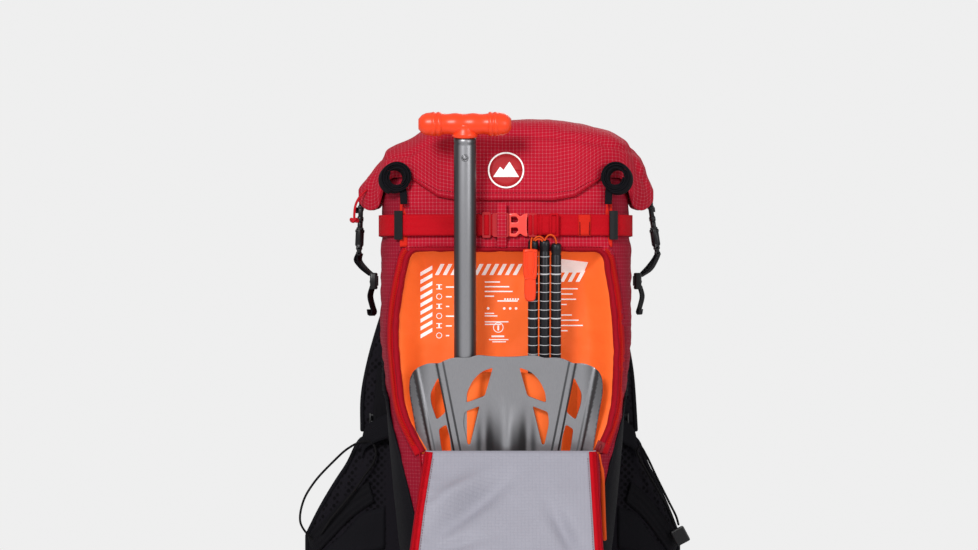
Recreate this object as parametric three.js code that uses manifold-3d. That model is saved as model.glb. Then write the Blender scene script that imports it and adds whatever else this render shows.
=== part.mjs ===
// A ski touring backpack that stands upright on its base, with its front pocket open.
// Millimetres. +Z is up, the front pocket faces -Y, the wearer's back is at +Y, +X is to the right.
// The origin is at the middle of the flat base.

import * as THREE from 'three';
import { mergeVertices } from 'three/addons/utils/BufferGeometryUtils.js';
import Module from 'manifold-3d';

const wasm = await Module();
wasm.setup();

// ---------------------------------------------------------------- driving dimensions

const CLEARANCE = 0.3;            // gap kept between neighbouring pieces
const BASE_TOP = 4;               // top of the flat base panel
const MOUTH_HEIGHT = 520;         // rim of the main compartment
const TOP_HEIGHT = 590;           // top of the closed roll
const BODY_CENTRE_Y = -6;         // middle of the body's cross-section
const BODY_BACK_DEPTH = 94;       // from that middle to the back wall
const FRONT_POWER = 4.2;          // how square the body's cross-section is in front
const BACK_POWER = 9;             // and at the back
const POCKET_BACK_Y = -50;        // wall between the main bag and the front pocket
const POCKET_TOP = 450;           // top of the front pocket
const FOLD_HEIGHT = 200;          // fold line of the front flap
const FOLD_Y = -129;
const MOUTH_TOP = 434;            // top edge of the front pocket's mouth
const FLAP_LENGTH = 236;
const FLAP_LEAN = 35;             // degrees from straight down, at rest
const TOOL_LEAN = 9;              // degrees by which the carried tools lean forward
const STRAP_LOW = 450;            // lower edge of the front compression strap
const STRAP_WIDTH = 27;
const STRAP_MIDDLE = STRAP_LOW + STRAP_WIDTH / 2;

// Body stations: height, half width, front depth from the body's centre.
const BODY_STATIONS = [
  [BASE_TOP + CLEARANCE, 112, 74],
  [30, 117, 86],
  [70, 122, 98],
  [130, 128, 112],
  [198, 134, 119],
  [260, 141, 118],
  [341, 149, 114],
  [400, 149, 109],
  [450, 147, 106],
  [490, 144, 102],
  [MOUTH_HEIGHT, 140, 98],
];

// ---------------------------------------------------------------- materials

const paint = (color, roughness, metalness = 0) =>
  new THREE.MeshStandardMaterial({ color, roughness, metalness });

const RIPSTOP = paint('#c0142f', 0.55);
const SIDE_FABRIC = paint('#9e1b32', 0.6);
const RED_WEBBING = paint('#c8101e', 0.6);
const ORANGE_WEBBING = paint('#d8281e', 0.6);
const ORANGE_LINING = paint('#ff6a2c', 0.6);
const GREY_LINING = paint('#b3b2ba', 0.6);
const BLACK_FABRIC = paint('#1c1b20', 0.8);
const BLACK_MESH = paint('#151418', 0.9);
const BLACK_PLASTIC = paint('#1a1a1c', 0.4);
const RED_PLASTIC = paint('#f0483c', 0.35);
const GREY_METAL = paint('#8a8a8c', 0.4, 0.8);
const DARK_METAL = paint('#222226', 0.35, 0.6);
const ORANGE_PLASTIC = paint('#ff4e1e', 0.4);
const FRAME_PLASTIC = paint('#3a3a3e', 0.5);
const FRAME_ALUMINIUM = paint('#b8babd', 0.35, 0.9);
const CORD_BLACK = paint('#141214', 0.8);
const CORD_RED = paint('#c81a28', 0.8);

// ---------------------------------------------------------------- geometry helpers

const radians = THREE.MathUtils.degToRad;
const point = (x, y, z) => new THREE.Vector3(x, y, z);
const SIDES = [['left', -1], ['right', 1]];

const pack = new THREE.Group();

function add(name, geometry, material, parent = pack) {
  const mesh = new THREE.Mesh(geometry, material);
  mesh.name = name;
  parent.add(mesh);
  return mesh;
}

// Joins rings of points, all of one length, into one closed solid.
function loft(rings) {
  const size = rings[0].length;
  const positions = rings.flat().flatMap((p) => [p.x, p.y, p.z]);
  const index = [];
  for (let level = 0; level < rings.length - 1; level += 1) {
    for (let i = 0; i < size; i += 1) {
      const a = level * size + i;
      const b = level * size + ((i + 1) % size);
      index.push(a, b, b + size, a, b + size, a + size);
    }
  }
  for (const level of [0, rings.length - 1]) {
    const centre = new THREE.Vector3();
    rings[level].forEach((p) => centre.addScaledVector(p, 1 / size));
    const hub = positions.length / 3;
    positions.push(centre.x, centre.y, centre.z);
    for (let i = 0; i < size; i += 1) {
      const a = level * size + i;
      const b = level * size + ((i + 1) % size);
      index.push(...(level === 0 ? [b, a, hub] : [a, b, hub]));
    }
  }
  const geometry = new THREE.BufferGeometry();
  geometry.setAttribute('position', new THREE.Float32BufferAttribute(positions, 3));
  geometry.setIndex(signedVolume(positions, index) < 0 ? flipped(index) : index);
  return geometry;
}

function signedVolume(positions, index) {
  const corner = (i) => point(positions[3 * i], positions[3 * i + 1], positions[3 * i + 2]);
  let sum = 0;
  for (let i = 0; i < index.length; i += 3) {
    sum += corner(index[i]).dot(corner(index[i + 1]).cross(corner(index[i + 2])));
  }
  return sum / 6;
}

function flipped(index) {
  const result = [];
  for (let i = 0; i < index.length; i += 3) {
    result.push(index[i], index[i + 2], index[i + 1]);
  }
  return result;
}

function toSolid(geometry) {
  const bare = geometry.clone();
  bare.deleteAttribute('normal');
  bare.deleteAttribute('uv');
  const merged = mergeVertices(bare, 1e-3);
  return new wasm.Manifold(new wasm.Mesh({
    numProp: 3,
    vertProperties: Float32Array.from(merged.attributes.position.array),
    triVerts: Uint32Array.from(merged.index.array),
  }));
}

function toGeometry(solid) {
  const mesh = solid.getMesh();
  const geometry = new THREE.BufferGeometry();
  geometry.setAttribute('position', new THREE.BufferAttribute(mesh.vertProperties, 3));
  geometry.setIndex(new THREE.BufferAttribute(mesh.triVerts, 1));
  return geometry;
}

// A box between two corners.
function block(low, high) {
  const geometry = new THREE.BoxGeometry(high[0] - low[0], high[1] - low[1], high[2] - low[2]);
  geometry.translate((low[0] + high[0]) / 2, (low[1] + high[1]) / 2, (low[2] + high[2]) / 2);
  return geometry;
}

// An outline drawn in X and Z, made solid from one Y to another.
function frontPrism(outline, fromY, toY, curveSegments = 5) {
  const geometry = new THREE.ExtrudeGeometry(outline, {
    depth: toY - fromY, bevelEnabled: false, curveSegments,
  });
  geometry.rotateX(Math.PI / 2);
  geometry.translate(0, toY, 0);
  return geometry;
}

// An outline drawn in Y and Z, made solid from one X to another.
function sidePrism(outline, fromX, toX) {
  const geometry = new THREE.ExtrudeGeometry(outline, { depth: toX - fromX, bevelEnabled: false });
  geometry.rotateX(Math.PI / 2);
  geometry.rotateZ(Math.PI / 2);
  geometry.translate(fromX, 0, 0);
  return geometry;
}

// A closed outline with rounded corners, from [x, z, radius] corners.
// A rounding takes at most 0.45 of either neighbouring edge.
function roundedOutline(corners) {
  const shape = new THREE.Shape();
  const count = corners.length;
  corners.forEach(([x, z, radius], i) => {
    const here = new THREE.Vector2(x, z);
    const toBefore = new THREE.Vector2(...corners[(i + count - 1) % count]).sub(here);
    const toAfter = new THREE.Vector2(...corners[(i + 1) % count]).sub(here);
    const cut = Math.min(radius, 0.45 * toBefore.length(), 0.45 * toAfter.length());
    const start = here.clone().addScaledVector(toBefore.normalize(), cut);
    const end = here.clone().addScaledVector(toAfter.normalize(), cut);
    if (i === 0) shape.moveTo(start.x, start.y);
    else shape.lineTo(start.x, start.y);
    if (cut > 0) shape.quadraticCurveTo(x, z, end.x, end.y);
  });
  shape.closePath();
  return shape;
}

// A flat band: one rectangle per path point, spanned by a width vector and a thickness vector.
function ribbon(stops) {
  return loft(stops.map(({ at, width, thick }) => [
    at.clone().addScaledVector(width, -0.5).addScaledVector(thick, -0.5),
    at.clone().addScaledVector(width, 0.5).addScaledVector(thick, -0.5),
    at.clone().addScaledVector(width, 0.5).addScaledVector(thick, 0.5),
    at.clone().addScaledVector(width, -0.5).addScaledVector(thick, 0.5),
  ]));
}

function tube(points, diameter, steps, sides = 8, closed = false) {
  const section = new THREE.Shape();
  for (let i = 0; i < sides; i += 1) {
    const angle = (2 * Math.PI * i) / sides;
    const x = Math.cos(angle) * diameter / 2;
    const y = Math.sin(angle) * diameter / 2;
    if (i === 0) section.moveTo(x, y);
    else section.lineTo(x, y);
  }
  section.closePath();
  const path = new THREE.CatmullRomCurve3(points, closed, 'centripetal');
  return new THREE.ExtrudeGeometry(section, { steps, extrudePath: path, bevelEnabled: false });
}

// ---------------------------------------------------------------- the body's surface

function bodySize(height) {
  const last = BODY_STATIONS.length - 1;
  const upper = BODY_STATIONS.findIndex((station) => station[0] >= height);
  const i = upper < 0 ? last : Math.max(1, upper);
  const [z0, halfWidth0, front0] = BODY_STATIONS[i - 1];
  const [z1, halfWidth1, front1] = BODY_STATIONS[i];
  const t = THREE.MathUtils.clamp((height - z0) / (z1 - z0), 0, 1);
  return {
    halfWidth: THREE.MathUtils.lerp(halfWidth0, halfWidth1, t),
    front: THREE.MathUtils.lerp(front0, front1, t),
  };
}

// A point of the body's surface at an angle round +Z, moved out by inflate.
function bodyPoint(height, angle, inflate = 0) {
  const { halfWidth, front } = bodySize(height);
  const c = Math.cos(angle);
  const s = Math.sin(angle);
  const depth = s < 0 ? front : BODY_BACK_DEPTH;
  const bend = 2 / (s < 0 ? FRONT_POWER : BACK_POWER);
  return point(
    (halfWidth + inflate) * Math.sign(c) * Math.abs(c) ** bend,
    BODY_CENTRE_Y + (depth + inflate) * Math.sign(s) * Math.abs(s) ** bend,
    height,
  );
}

const BODY_RING_STEPS = 44;

function bodyLoft(inflate, low, high) {
  const inner = BODY_STATIONS.map((station) => station[0]).filter((z) => z > low + 1 && z < high - 1);
  return loft([low, ...inner, high].map((z) =>
    Array.from({ length: BODY_RING_STEPS }, (_, i) =>
      bodyPoint(z, (2 * Math.PI * (i + 0.5)) / BODY_RING_STEPS, inflate))));
}

// A thin skin that follows the body between two offsets, inside a cutting solid.
function bodySkin(offset, thickness, low, high, cutter) {
  const outer = toSolid(bodyLoft(offset + thickness, low, high));
  const inner = toSolid(bodyLoft(offset, low - 2, high + 2));
  return toGeometry(outer.subtract(inner).intersect(toSolid(cutter)));
}

// The angle at which the body's front surface has a given X.
function frontAngle(height, x) {
  const ratio = THREE.MathUtils.clamp(x / bodySize(height).halfWidth, -1, 1);
  const c = Math.sign(ratio) * Math.abs(ratio) ** (FRONT_POWER / 2);
  return -Math.acos(c);
}

// A horizontal band wrapped on the body between two angles.
function wrappedBand(height, width, thickness, offset, fromAngle, toAngle, steps) {
  const stops = [];
  for (let i = 0; i <= steps; i += 1) {
    const angle = THREE.MathUtils.lerp(fromAngle, toAngle, i / steps);
    const inside = bodyPoint(height, angle, offset);
    const outside = bodyPoint(height, angle, offset + thickness);
    stops.push({
      at: inside.clone().lerp(outside, 0.5),
      width: point(0, 0, width),
      thick: outside.clone().sub(inside),
    });
  }
  return ribbon(stops);
}

// ---------------------------------------------------------------- main bag and its frame

const WALL = 3;

function mainBag() {
  const pocketBlock = toSolid(block([-200, -200, -5], [200, POCKET_BACK_Y, POCKET_TOP]));
  const hollow = toSolid(bodyLoft(-WALL, BASE_TOP + 4, MOUTH_HEIGHT + 5));
  const hollowBlock = toSolid(block(
    [-200, -200, -5], [200, POCKET_BACK_Y + WALL, POCKET_TOP + WALL]));
  const shell = toSolid(bodyLoft(0, BODY_STATIONS[0][0], MOUTH_HEIGHT))
    .subtract(pocketBlock)
    .subtract(hollow.subtract(hollowBlock));
  add('main_bag', toGeometry(shell), SIDE_FABRIC);
}

function frameParts() {
  add('base_panel', frontPrism(roundedOutline([
    [-108, 0, 0], [108, 0, 0], [108, BASE_TOP, 0], [-108, BASE_TOP, 0],
  ]), -68, 78), BLACK_FABRIC);
  const backOutline = roundedOutline([
    [-98, 14, 20], [98, 14, 20], [112, 180, 30], [112, 420, 60], [84, 496, 40],
    [-84, 496, 40], [-112, 420, 60], [-112, 180, 30],
  ]);
  const backWall = BODY_CENTRE_Y + BODY_BACK_DEPTH;
  add('back_panel', frontPrism(backOutline, backWall + CLEARANCE, backWall + 16), BLACK_MESH);
  const innerWall = backWall - WALL;
  const sheet = roundedOutline([[-90, 20, 15], [90, 20, 15], [90, 470, 30], [-90, 470, 30]]);
  add('frame_sheet', frontPrism(sheet, innerWall - 4.4, innerWall - 2.6), FRAME_PLASTIC);
  for (const [side, sign] of SIDES) {
    const low = [sign * 60 - 6, innerWall - 7.9, 26];
    const high = [sign * 60 + 6, innerWall - 4.9, 462];
    add(`frame_stay_${side}`, block(low, high), FRAME_ALUMINIUM);
  }
}

// ---------------------------------------------------------------- front pocket

// The mouth's right-hand half, as [x, z, radius] corners from the fold line upwards.
const MOUTH_FOLD = 198;
const MOUTH_SLOPE = 0.45;         // how fast the mouth widens just above the fold line
const MOUTH_HALF = [[94, MOUTH_FOLD, 6], [119, 252, 20], [126, 345, 30], [116, MOUTH_TOP, 16]];

const mirrorOutline = (half) => [
  ...half, ...half.map(([x, z, radius]) => [-x, z, radius]).reverse(),
];

// The mouth's outline moved out by grow, starting at the height low.
function mouthOutline(grow, low = MOUTH_FOLD) {
  const [[foldX, , foldRadius], ...upper] = MOUTH_HALF;
  const start = [foldX + MOUTH_SLOPE * (low - MOUTH_FOLD) + grow, low, foldRadius];
  const rest = upper.map(([x, z, radius]) => [x + grow, z === MOUTH_TOP ? z + grow : z, radius]);
  return roundedOutline(mirrorOutline([start, ...rest]));
}

function frontPocket() {
  const frontBlock = block(
    [-200, -200, -5], [200, POCKET_BACK_Y - CLEARANCE, POCKET_TOP - CLEARANCE]);
  const hollow = toSolid(bodyLoft(-4, BASE_TOP + 6, POCKET_TOP - 5));
  const mouth = toSolid(frontPrism(mouthOutline(0), -200, -70));
  const shell = toSolid(bodyLoft(0, BODY_STATIONS[0][0], POCKET_TOP))
    .intersect(toSolid(frontBlock))
    .subtract(hollow)
    .subtract(mouth);
  add('front_pocket', toGeometry(shell), RIPSTOP);
  const liningBlock = block([-200, POCKET_BACK_Y - 7, 12], [200, POCKET_BACK_Y - 0.4, POCKET_TOP - 8]);
  const lining = toSolid(bodyLoft(-5, BASE_TOP + 6, POCKET_TOP - 5)).intersect(toSolid(liningBlock));
  add('pocket_lining', toGeometry(lining), ORANGE_LINING);
}

function mouthZip() {
  const outer = toSolid(frontPrism(mouthOutline(11, 206), -160, -70));
  const inner = toSolid(frontPrism(mouthOutline(3, 150), -161, -69));
  const band = toGeometry(outer.subtract(inner));
  add('zip_tape_pocket', bodySkin(0.3, 1.2, 196, 448, band), ORANGE_WEBBING);
}

// ---------------------------------------------------------------- flap, zip slider and its pull

function frontFlap() {
  const hinge = new THREE.Group();
  hinge.position.set(0, FOLD_Y, FOLD_HEIGHT);
  hinge.rotation.x = -radians(FLAP_LEAN);
  pack.add(hinge);
  const half = [[94, -3, 0], [101, -60, 30], [112, -147, 30], [116, -200, 20], [106, -FLAP_LENGTH, 16]];
  const corners = mirrorOutline(half);
  add('front_flap', frontPrism(roundedOutline(corners), -1.5, 1.5), GREY_LINING, hinge);
  const tapeWidth = 8;
  const inner = mirrorOutline(half.map(([x, z, radius], i) => [
    x - tapeWidth, z + (i === 0 ? 12 : 0) + (z === -FLAP_LENGTH ? tapeWidth : 0), radius,
  ]));
  const band = toSolid(frontPrism(roundedOutline(corners), -3, -1.8))
    .subtract(toSolid(frontPrism(roundedOutline(inner), -4, -1)));
  add('zip_tape_flap', toGeometry(band), RED_WEBBING, hinge);
}

// The slider sits at the lower end of the pocket's right-hand tape, and its cord pull hangs from it.
function zipSlider() {
  const at = new THREE.Group();
  at.position.set(109, -122, 204);
  at.rotation.set(0, radians(24), radians(18));
  pack.add(at);
  add('zip_slider', frontPrism(roundedOutline([
    [-4, -7, 1.5], [4, -7, 1.5], [5.5, 7, 2], [-5.5, 7, 2],
  ]), -2.5, 2.5, 2), RED_WEBBING, at);
  const pullY = -128;
  const route = [[109, 193], [112, 175], [113, 150], [114, 120], [115, 96]].map(([x, z]) => point(x, pullY, z));
  add('zip_pull', tube(route, 4, 14), ORANGE_PLASTIC);
}

// ---------------------------------------------------------------- front compression strap

const STRAP_OFFSET = 3.2;
const STRAP_THICK = 1.5;

function strapBand(fromX, toX, offset, width, thickness, steps) {
  return wrappedBand(STRAP_MIDDLE, width, thickness, offset,
    frontAngle(STRAP_MIDDLE, fromX), frontAngle(STRAP_MIDDLE, toX), steps);
}

function frontY(height, x, offset) {
  return bodyPoint(height, frontAngle(height, x), offset).y;
}

// A flat frame with upright slots, such as a ladder lock. A slot is [x, width].
function slottedFrame(width, height, thickness, slots) {
  const outline = roundedOutline([
    [-width / 2, -height / 2, 2], [width / 2, -height / 2, 2],
    [width / 2, height / 2, 2], [-width / 2, height / 2, 2],
  ]);
  const reach = height / 2 - 3;
  const frame = slots.reduce((solid, [x, slotWidth]) => solid.subtract(toSolid(block(
    [x - slotWidth / 2, -thickness, -reach], [x + slotWidth / 2, thickness, reach],
  ))), toSolid(frontPrism(outline, -thickness / 2, thickness / 2, 3)));
  return toGeometry(frame);
}

function compressionStrap() {
  const sideLeft = -Math.PI - 0.35;
  const leftEnd = frontAngle(STRAP_MIDDLE, -12);
  add('strap_left', wrappedBand(STRAP_MIDDLE, STRAP_WIDTH - 2, STRAP_THICK, STRAP_OFFSET,
    sideLeft, leftEnd, 26), RED_WEBBING);
  const rightStart = frontAngle(STRAP_MIDDLE, 36);
  add('strap_right', wrappedBand(STRAP_MIDDLE, STRAP_WIDTH - 2, STRAP_THICK, STRAP_OFFSET,
    rightStart, 0.35, 24), RED_WEBBING);
  const front = frontY(STRAP_MIDDLE, 0, STRAP_OFFSET + STRAP_THICK);
  const plate = front - CLEARANCE;

  const female = toSolid(frontPrism(roundedOutline([
    [-16, -14, 3], [3, -14, 2], [3, 14, 2], [-16, 14, 3],
  ]), plate - 7, plate)).subtract(toSolid(block([-8, plate - 5.4, -10], [4, plate - 1.6, 10])));
  const femaleGroup = new THREE.Group();
  femaleGroup.position.z = STRAP_MIDDLE;
  pack.add(femaleGroup);
  add('buckle_female', toGeometry(female), RED_PLASTIC, femaleGroup);

  const ladder = slottedFrame(10, 30, 2.5, [[-1.8, 2.2], [2, 2.2]]);
  ladder.translate(-23, plate - 1.3, STRAP_MIDDLE);
  add('ladder_lock_left', ladder, RED_PLASTIC);

  const male = toSolid(block([4.5, plate - 7, -13], [24, plate, 13]))
    .add(toSolid(block([-5, plate - 4.7, -9], [5, plate - 2.3, -4.5])))
    .add(toSolid(block([-5, plate - 4.7, 4.5], [5, plate - 2.3, 9])))
    .add(toSolid(block([-3, plate - 4.7, -1.5], [5, plate - 2.3, 1.5])))
    .subtract(toSolid(block([8, plate - 8, -8], [13, plate + 1, 8])))
    .subtract(toSolid(block([16, plate - 8, -10], [19, plate + 1, 10])));
  add('buckle_male', toGeometry(male), RED_PLASTIC, femaleGroup);

  const slider = slottedFrame(10, 28, 2.5, [[-1.8, 2.2], [2, 2.2]]);
  slider.translate(31, plate - 4, STRAP_MIDDLE);
  add('ladder_lock_right', slider, RED_PLASTIC);
  add('strap_tail', block([37, plate - 4.4, STRAP_MIDDLE - 11], [62, plate - 3, STRAP_MIDDLE + 11]),
    RED_WEBBING);

  const keeperX = -5;
  add('buckle_keeper', block(
    [keeperX - 5.5, plate - 8.6, STRAP_LOW - 12], [keeperX + 5.5, plate - 7.4, STRAP_LOW + STRAP_WIDTH + 12],
  ), RIPSTOP);
}

function strapKeepers() {
  for (const [side, sign] of SIDES) {
    const angles = [117, 126].map((x) => frontAngle(STRAP_MIDDLE, sign * x));
    add(`strap_keeper_${side}`, wrappedBand(STRAP_MIDDLE, 34, 1.4,
      STRAP_OFFSET + STRAP_THICK + 0.4, ...angles, 2), BLACK_PLASTIC);

    const [webbingLow, webbingHigh] = [449, 512];
    const [webbingFrom, webbingTo] = [sign * 116, sign * 124].sort((a, b) => a - b);
    const cutter = block([webbingFrom, -160, webbingLow], [webbingTo, -40, webbingHigh]);
    add(`attachment_webbing_${side}`, bodySkin(0.3, 1.2, webbingLow, webbingHigh, cutter), ORANGE_WEBBING);

    const loop = { x: sign * 127, z: 519, halfWidth: 14, halfHeight: 15, lean: 2, cord: 9, stops: 16 };
    const loopY = frontY(webbingHigh, sign * 118, 0) - 10;
    const ring = [];
    for (let i = 0; i < loop.stops; i += 1) {
      const angle = (2 * Math.PI * i) / loop.stops;
      ring.push(point(loop.x + loop.halfWidth * Math.cos(angle), loopY - loop.lean * Math.sin(angle),
        loop.z + loop.halfHeight * Math.sin(angle)));
    }
    add(`tool_loop_${side}`, closedRing(ring, loop.cord), BLACK_FABRIC);
  }
}

// A closed ring of round section through the given points.
function closedRing(points, diameter, sides = 8) {
  const path = new THREE.CatmullRomCurve3(points, true);
  const steps = points.length * 2;
  const frames = path.computeFrenetFrames(steps, true);
  const positions = [];
  const index = [];
  for (let i = 0; i < steps; i += 1) {
    const centre = path.getPointAt(i / steps);
    for (let j = 0; j < sides; j += 1) {
      const angle = (2 * Math.PI * j) / sides;
      const p = centre.clone()
        .addScaledVector(frames.normals[i], Math.cos(angle) * diameter / 2)
        .addScaledVector(frames.binormals[i], Math.sin(angle) * diameter / 2);
      positions.push(p.x, p.y, p.z);
      const a = i * sides + j;
      const b = i * sides + ((j + 1) % sides);
      const c = ((i + 1) % steps) * sides + ((j + 1) % sides);
      const d = ((i + 1) % steps) * sides + j;
      index.push(a, b, c, a, c, d);
    }
  }
  const geometry = new THREE.BufferGeometry();
  geometry.setAttribute('position', new THREE.Float32BufferAttribute(positions, 3));
  geometry.setIndex(signedVolume(positions, index) < 0 ? flipped(index) : index);
  return geometry;
}

// ---------------------------------------------------------------- side pockets

function sidePockets() {
  for (const [side, sign] of SIDES) {
    const front = roundedOutline([
      [sign * 90, 40, 0], [sign * 170, 40, 0], [sign * 170, 340, 0], [sign * 143, 262, 0],
      [sign * 124, 194, 0], [sign * 106, 118, 0],
    ]);
    const sideCut = new THREE.Shape();
    sideCut.moveTo(-150, 30);
    sideCut.lineTo(82, 30);
    sideCut.lineTo(82, 330);
    sideCut.lineTo(-30, 318);
    sideCut.lineTo(-150, 200);
    sideCut.closePath();
    const cutter = toSolid(frontPrism(front, -150, 84))
      .intersect(toSolid(sidePrism(sideCut, -180, 180)));
    add(`side_pocket_${side}`, bodySkin(0.4, 2, 36, 340, toGeometry(cutter)), BLACK_FABRIC);
  }
}

// ---------------------------------------------------------------- roll-top closure

const ROLL_LOW = MOUTH_HEIGHT + 1;
const ROLL_FRONT = -104;
const ROLL_BACK = 84;

// Roll stations: x, front y, back y, bottom z, top z.
const ROLL_STATIONS = [
  [0, ROLL_FRONT, ROLL_BACK, ROLL_LOW, TOP_HEIGHT],
  [70, ROLL_FRONT, ROLL_BACK, ROLL_LOW, TOP_HEIGHT - 1],
  [115, ROLL_FRONT + 6, ROLL_BACK - 4, ROLL_LOW, TOP_HEIGHT - 9],
  [143, -78, 60, ROLL_LOW, 574],
  [153, -62, 46, 512, 563],
  [162, -46, 34, 496, 552],
  [170, -36, 24, 484, 536],
  [176, -27, 14, 479, 512],
];

function rollTop() {
  const stations = [
    ...ROLL_STATIONS.slice(1).reverse().map(([x, ...rest]) => [-x, ...rest]),
    ...ROLL_STATIONS,
  ];
  const steps = 12;
  const rings = stations.map(([x, front, back, low, high]) => {
    const ring = [];
    for (let i = 0; i <= steps; i += 1) {
      const angle = (Math.PI * i) / steps;
      const c = Math.cos(angle);
      ring.push(point(
        x,
        (front + back) / 2 + ((back - front) / 2) * Math.sign(c) * Math.abs(c) ** 0.6,
        low + (high - low) * (0.16 + 0.84 * Math.sin(angle) ** 0.8),
      ));
    }
    ring.push(point(x, front + 4, low), point(x, back - 4, low));
    return ring;
  });
  add('roll_top', loft(rings), RIPSTOP);

  for (const [side, sign] of SIDES) {
    const x = sign * 172;
    const middleY = -7;
    const male = toSolid(block([-1.5, -10, 474], [1.5, 10, 478.5]))
      .add(toSolid(block([-3, -11, 458], [3, 11, 475])))
      .add(toSolid(block([-1.5, -9, 442], [1.5, -4, 459])))
      .add(toSolid(block([-1.5, 4, 442], [1.5, 9, 459])))
      .subtract(toSolid(block([-4, -8, 468], [4, 8, 472])));
    const geometry = toGeometry(male);
    geometry.translate(x, middleY, 0);
    add(`side_buckle_male_${side}`, geometry, BLACK_PLASTIC);

    const female = toSolid(block([-5, -12, 432], [5, 12, 457]))
      .subtract(toSolid(block([-2.2, -13, 441], [2.2, 13, 458])))
      .subtract(toSolid(block([-6, -8, 434.5], [6, 8, 437.5])));
    const femaleGeometry = toGeometry(female);
    femaleGeometry.translate(x, middleY, 0);
    add(`side_buckle_female_${side}`, femaleGeometry, BLACK_PLASTIC);

    const webbing = [[x, 431, 2.4], [sign * 171, 424, 2.4], [sign * 165, 414, 2.4], [sign * 159, 406, 2.4]];
    add(`side_webbing_${side}`, ribbon(webbing.map(([atX, z, thick]) => ({
      at: point(atX, middleY, z), width: point(0, 20, 0), thick: point(sign * thick, 0, thick * 0.5),
    }))), BLACK_FABRIC);
    const adjuster = block([-4.5, -12.5, 392], [4.5, 12.5, 404]);
    adjuster.translate(sign * 157.5, middleY, 0);
    add(`side_adjuster_${side}`, adjuster, BLACK_PLASTIC);
  }
}

// ---------------------------------------------------------------- carried tools

const TOOL_PLANE_Y = -136;        // the tools' plane clears the front strap at this height
const TOOL_PLANE_HEIGHT = STRAP_MIDDLE + 11;

const toolPlaneY = (height) => TOOL_PLANE_Y + Math.tan(radians(TOOL_LEAN)) * (TOOL_PLANE_HEIGHT - height);

// A frame whose own +Z runs along the tools, standing at a height on the tools' plane.
function toolFrame(height, forward = 0) {
  const frame = new THREE.Group();
  frame.position.set(0, toolPlaneY(height) - forward, height);
  frame.rotation.x = radians(TOOL_LEAN);
  pack.add(frame);
  return frame;
}

const SHAFT_X = -48;
const SHAFT_RADIUS = 13;

function shovelShaft() {
  const frame = toolFrame(118);
  const length = 452;
  const shaft = new THREE.CylinderGeometry(SHAFT_RADIUS, SHAFT_RADIUS, length, 20);
  shaft.rotateX(Math.PI / 2);
  shaft.translate(SHAFT_X, 0, length / 2);
  add('shovel_shaft', shaft, GREY_METAL, frame);
  const bar = new THREE.CapsuleGeometry(13.5, 84, 5, 14);
  bar.rotateZ(Math.PI / 2);
  bar.translate(SHAFT_X, 0, length + 16);
  const neck = new THREE.CylinderGeometry(13, 15.5, 16, 16);
  neck.rotateX(Math.PI / 2);
  neck.translate(SHAFT_X, 0, length + CLEARANCE + 8);
  add('shovel_grip', toGeometry(toSolid(bar).add(toSolid(neck))), ORANGE_PLASTIC, frame);
}

// Blade outline stations, in the blade's own frame: height, half width.
const BLADE_STATIONS = [
  [0, 58], [14, 72], [60, 86], [130, 97], [185, 106], [224, 114], [244, 112], [258, 98], [266, 80],
];
const BLADE_LENGTH = 274;
const BLADE_THICK = 2.2;

// The openings in the blade's right half, as [x, height, radius] corners.
const BLADE_WINDOWS = [
  [[15, 258, 2], [25, 224, 3], [47, 216, 3], [46, 228, 6], [39, 243, 8], [28, 253, 8]],
  [[31, 212, 2], [49, 205, 3], [50, 190, 6], [44, 167, 2]],
  [[79, 245, 3], [89, 226, 6], [88, 214, 6], [81, 195, 3], [71, 204, 3]],
  [[70, 190, 3], [79, 184, 3], [76, 160, 6], [67, 132, 2], [62, 136, 2], [66, 175, 4]],
];

// How far the blade's surface lies behind its plane: its sides curl back, its spine stands forward.
function bladeDepth(x, height) {
  const share = height / BLADE_LENGTH;
  const curl = 14 * (Math.abs(x) / 116) ** 3.2 * (0.4 + 0.6 * share);
  const fade = THREE.MathUtils.clamp(1.15 - share, 0.25, 1) * Math.min(1, 0.3 + 4 * share);
  return curl - 7 * Math.exp(-((x / 17) ** 2)) * fade;
}

function shovelBlade() {
  const frame = toolFrame(42, 16);
  const across = 28;
  const rings = [...BLADE_STATIONS, [BLADE_LENGTH, 46]].map(([height, halfWidth]) => {
    const frontFace = [];
    const backFace = [];
    for (let i = 0; i <= across; i += 1) {
      const x = halfWidth * (2 * i / across - 1);
      const y = bladeDepth(x, height);
      frontFace.push(point(x, y - BLADE_THICK / 2, height));
      backFace.unshift(point(x, y + BLADE_THICK / 2, height));
    }
    return [...frontFace, ...backFace];
  });
  let blade = toSolid(loft(rings));
  for (const outline of BLADE_WINDOWS) {
    for (const [, sign] of SIDES) {
      const mirrored = outline.map(([x, z, radius]) => [sign * x, z, radius]);
      blade = blade.subtract(toSolid(frontPrism(roundedOutline(mirrored), -30, 30, 3)));
    }
  }
  add('shovel_blade', toGeometry(blade), GREY_METAL, frame);
}

function avalancheProbe() {
  const frame = toolFrame(96, -3);
  const length = 354;
  const radius = 6;
  const places = [[45, 0.8], [58.5, 0.3], [31.5, 0.3]];
  places.forEach(([x, y], i) => {
    const section = new THREE.CylinderGeometry(radius, radius, length - 4 * (i % 2), 12);
    section.rotateX(Math.PI / 2);
    section.translate(x, y, length / 2);
    add(`probe_section_${i + 1}`, section, DARK_METAL, frame);
  });
  const handle = new THREE.CapsuleGeometry(7.5, 46, 4, 12);
  handle.rotateX(Math.PI / 2);
  handle.scale(1, 0.5, 1);
  handle.translate(29, -10.8, length - 38);
  add('probe_handle', handle, ORANGE_PLASTIC, frame);
}

// ---------------------------------------------------------------- harness

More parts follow.
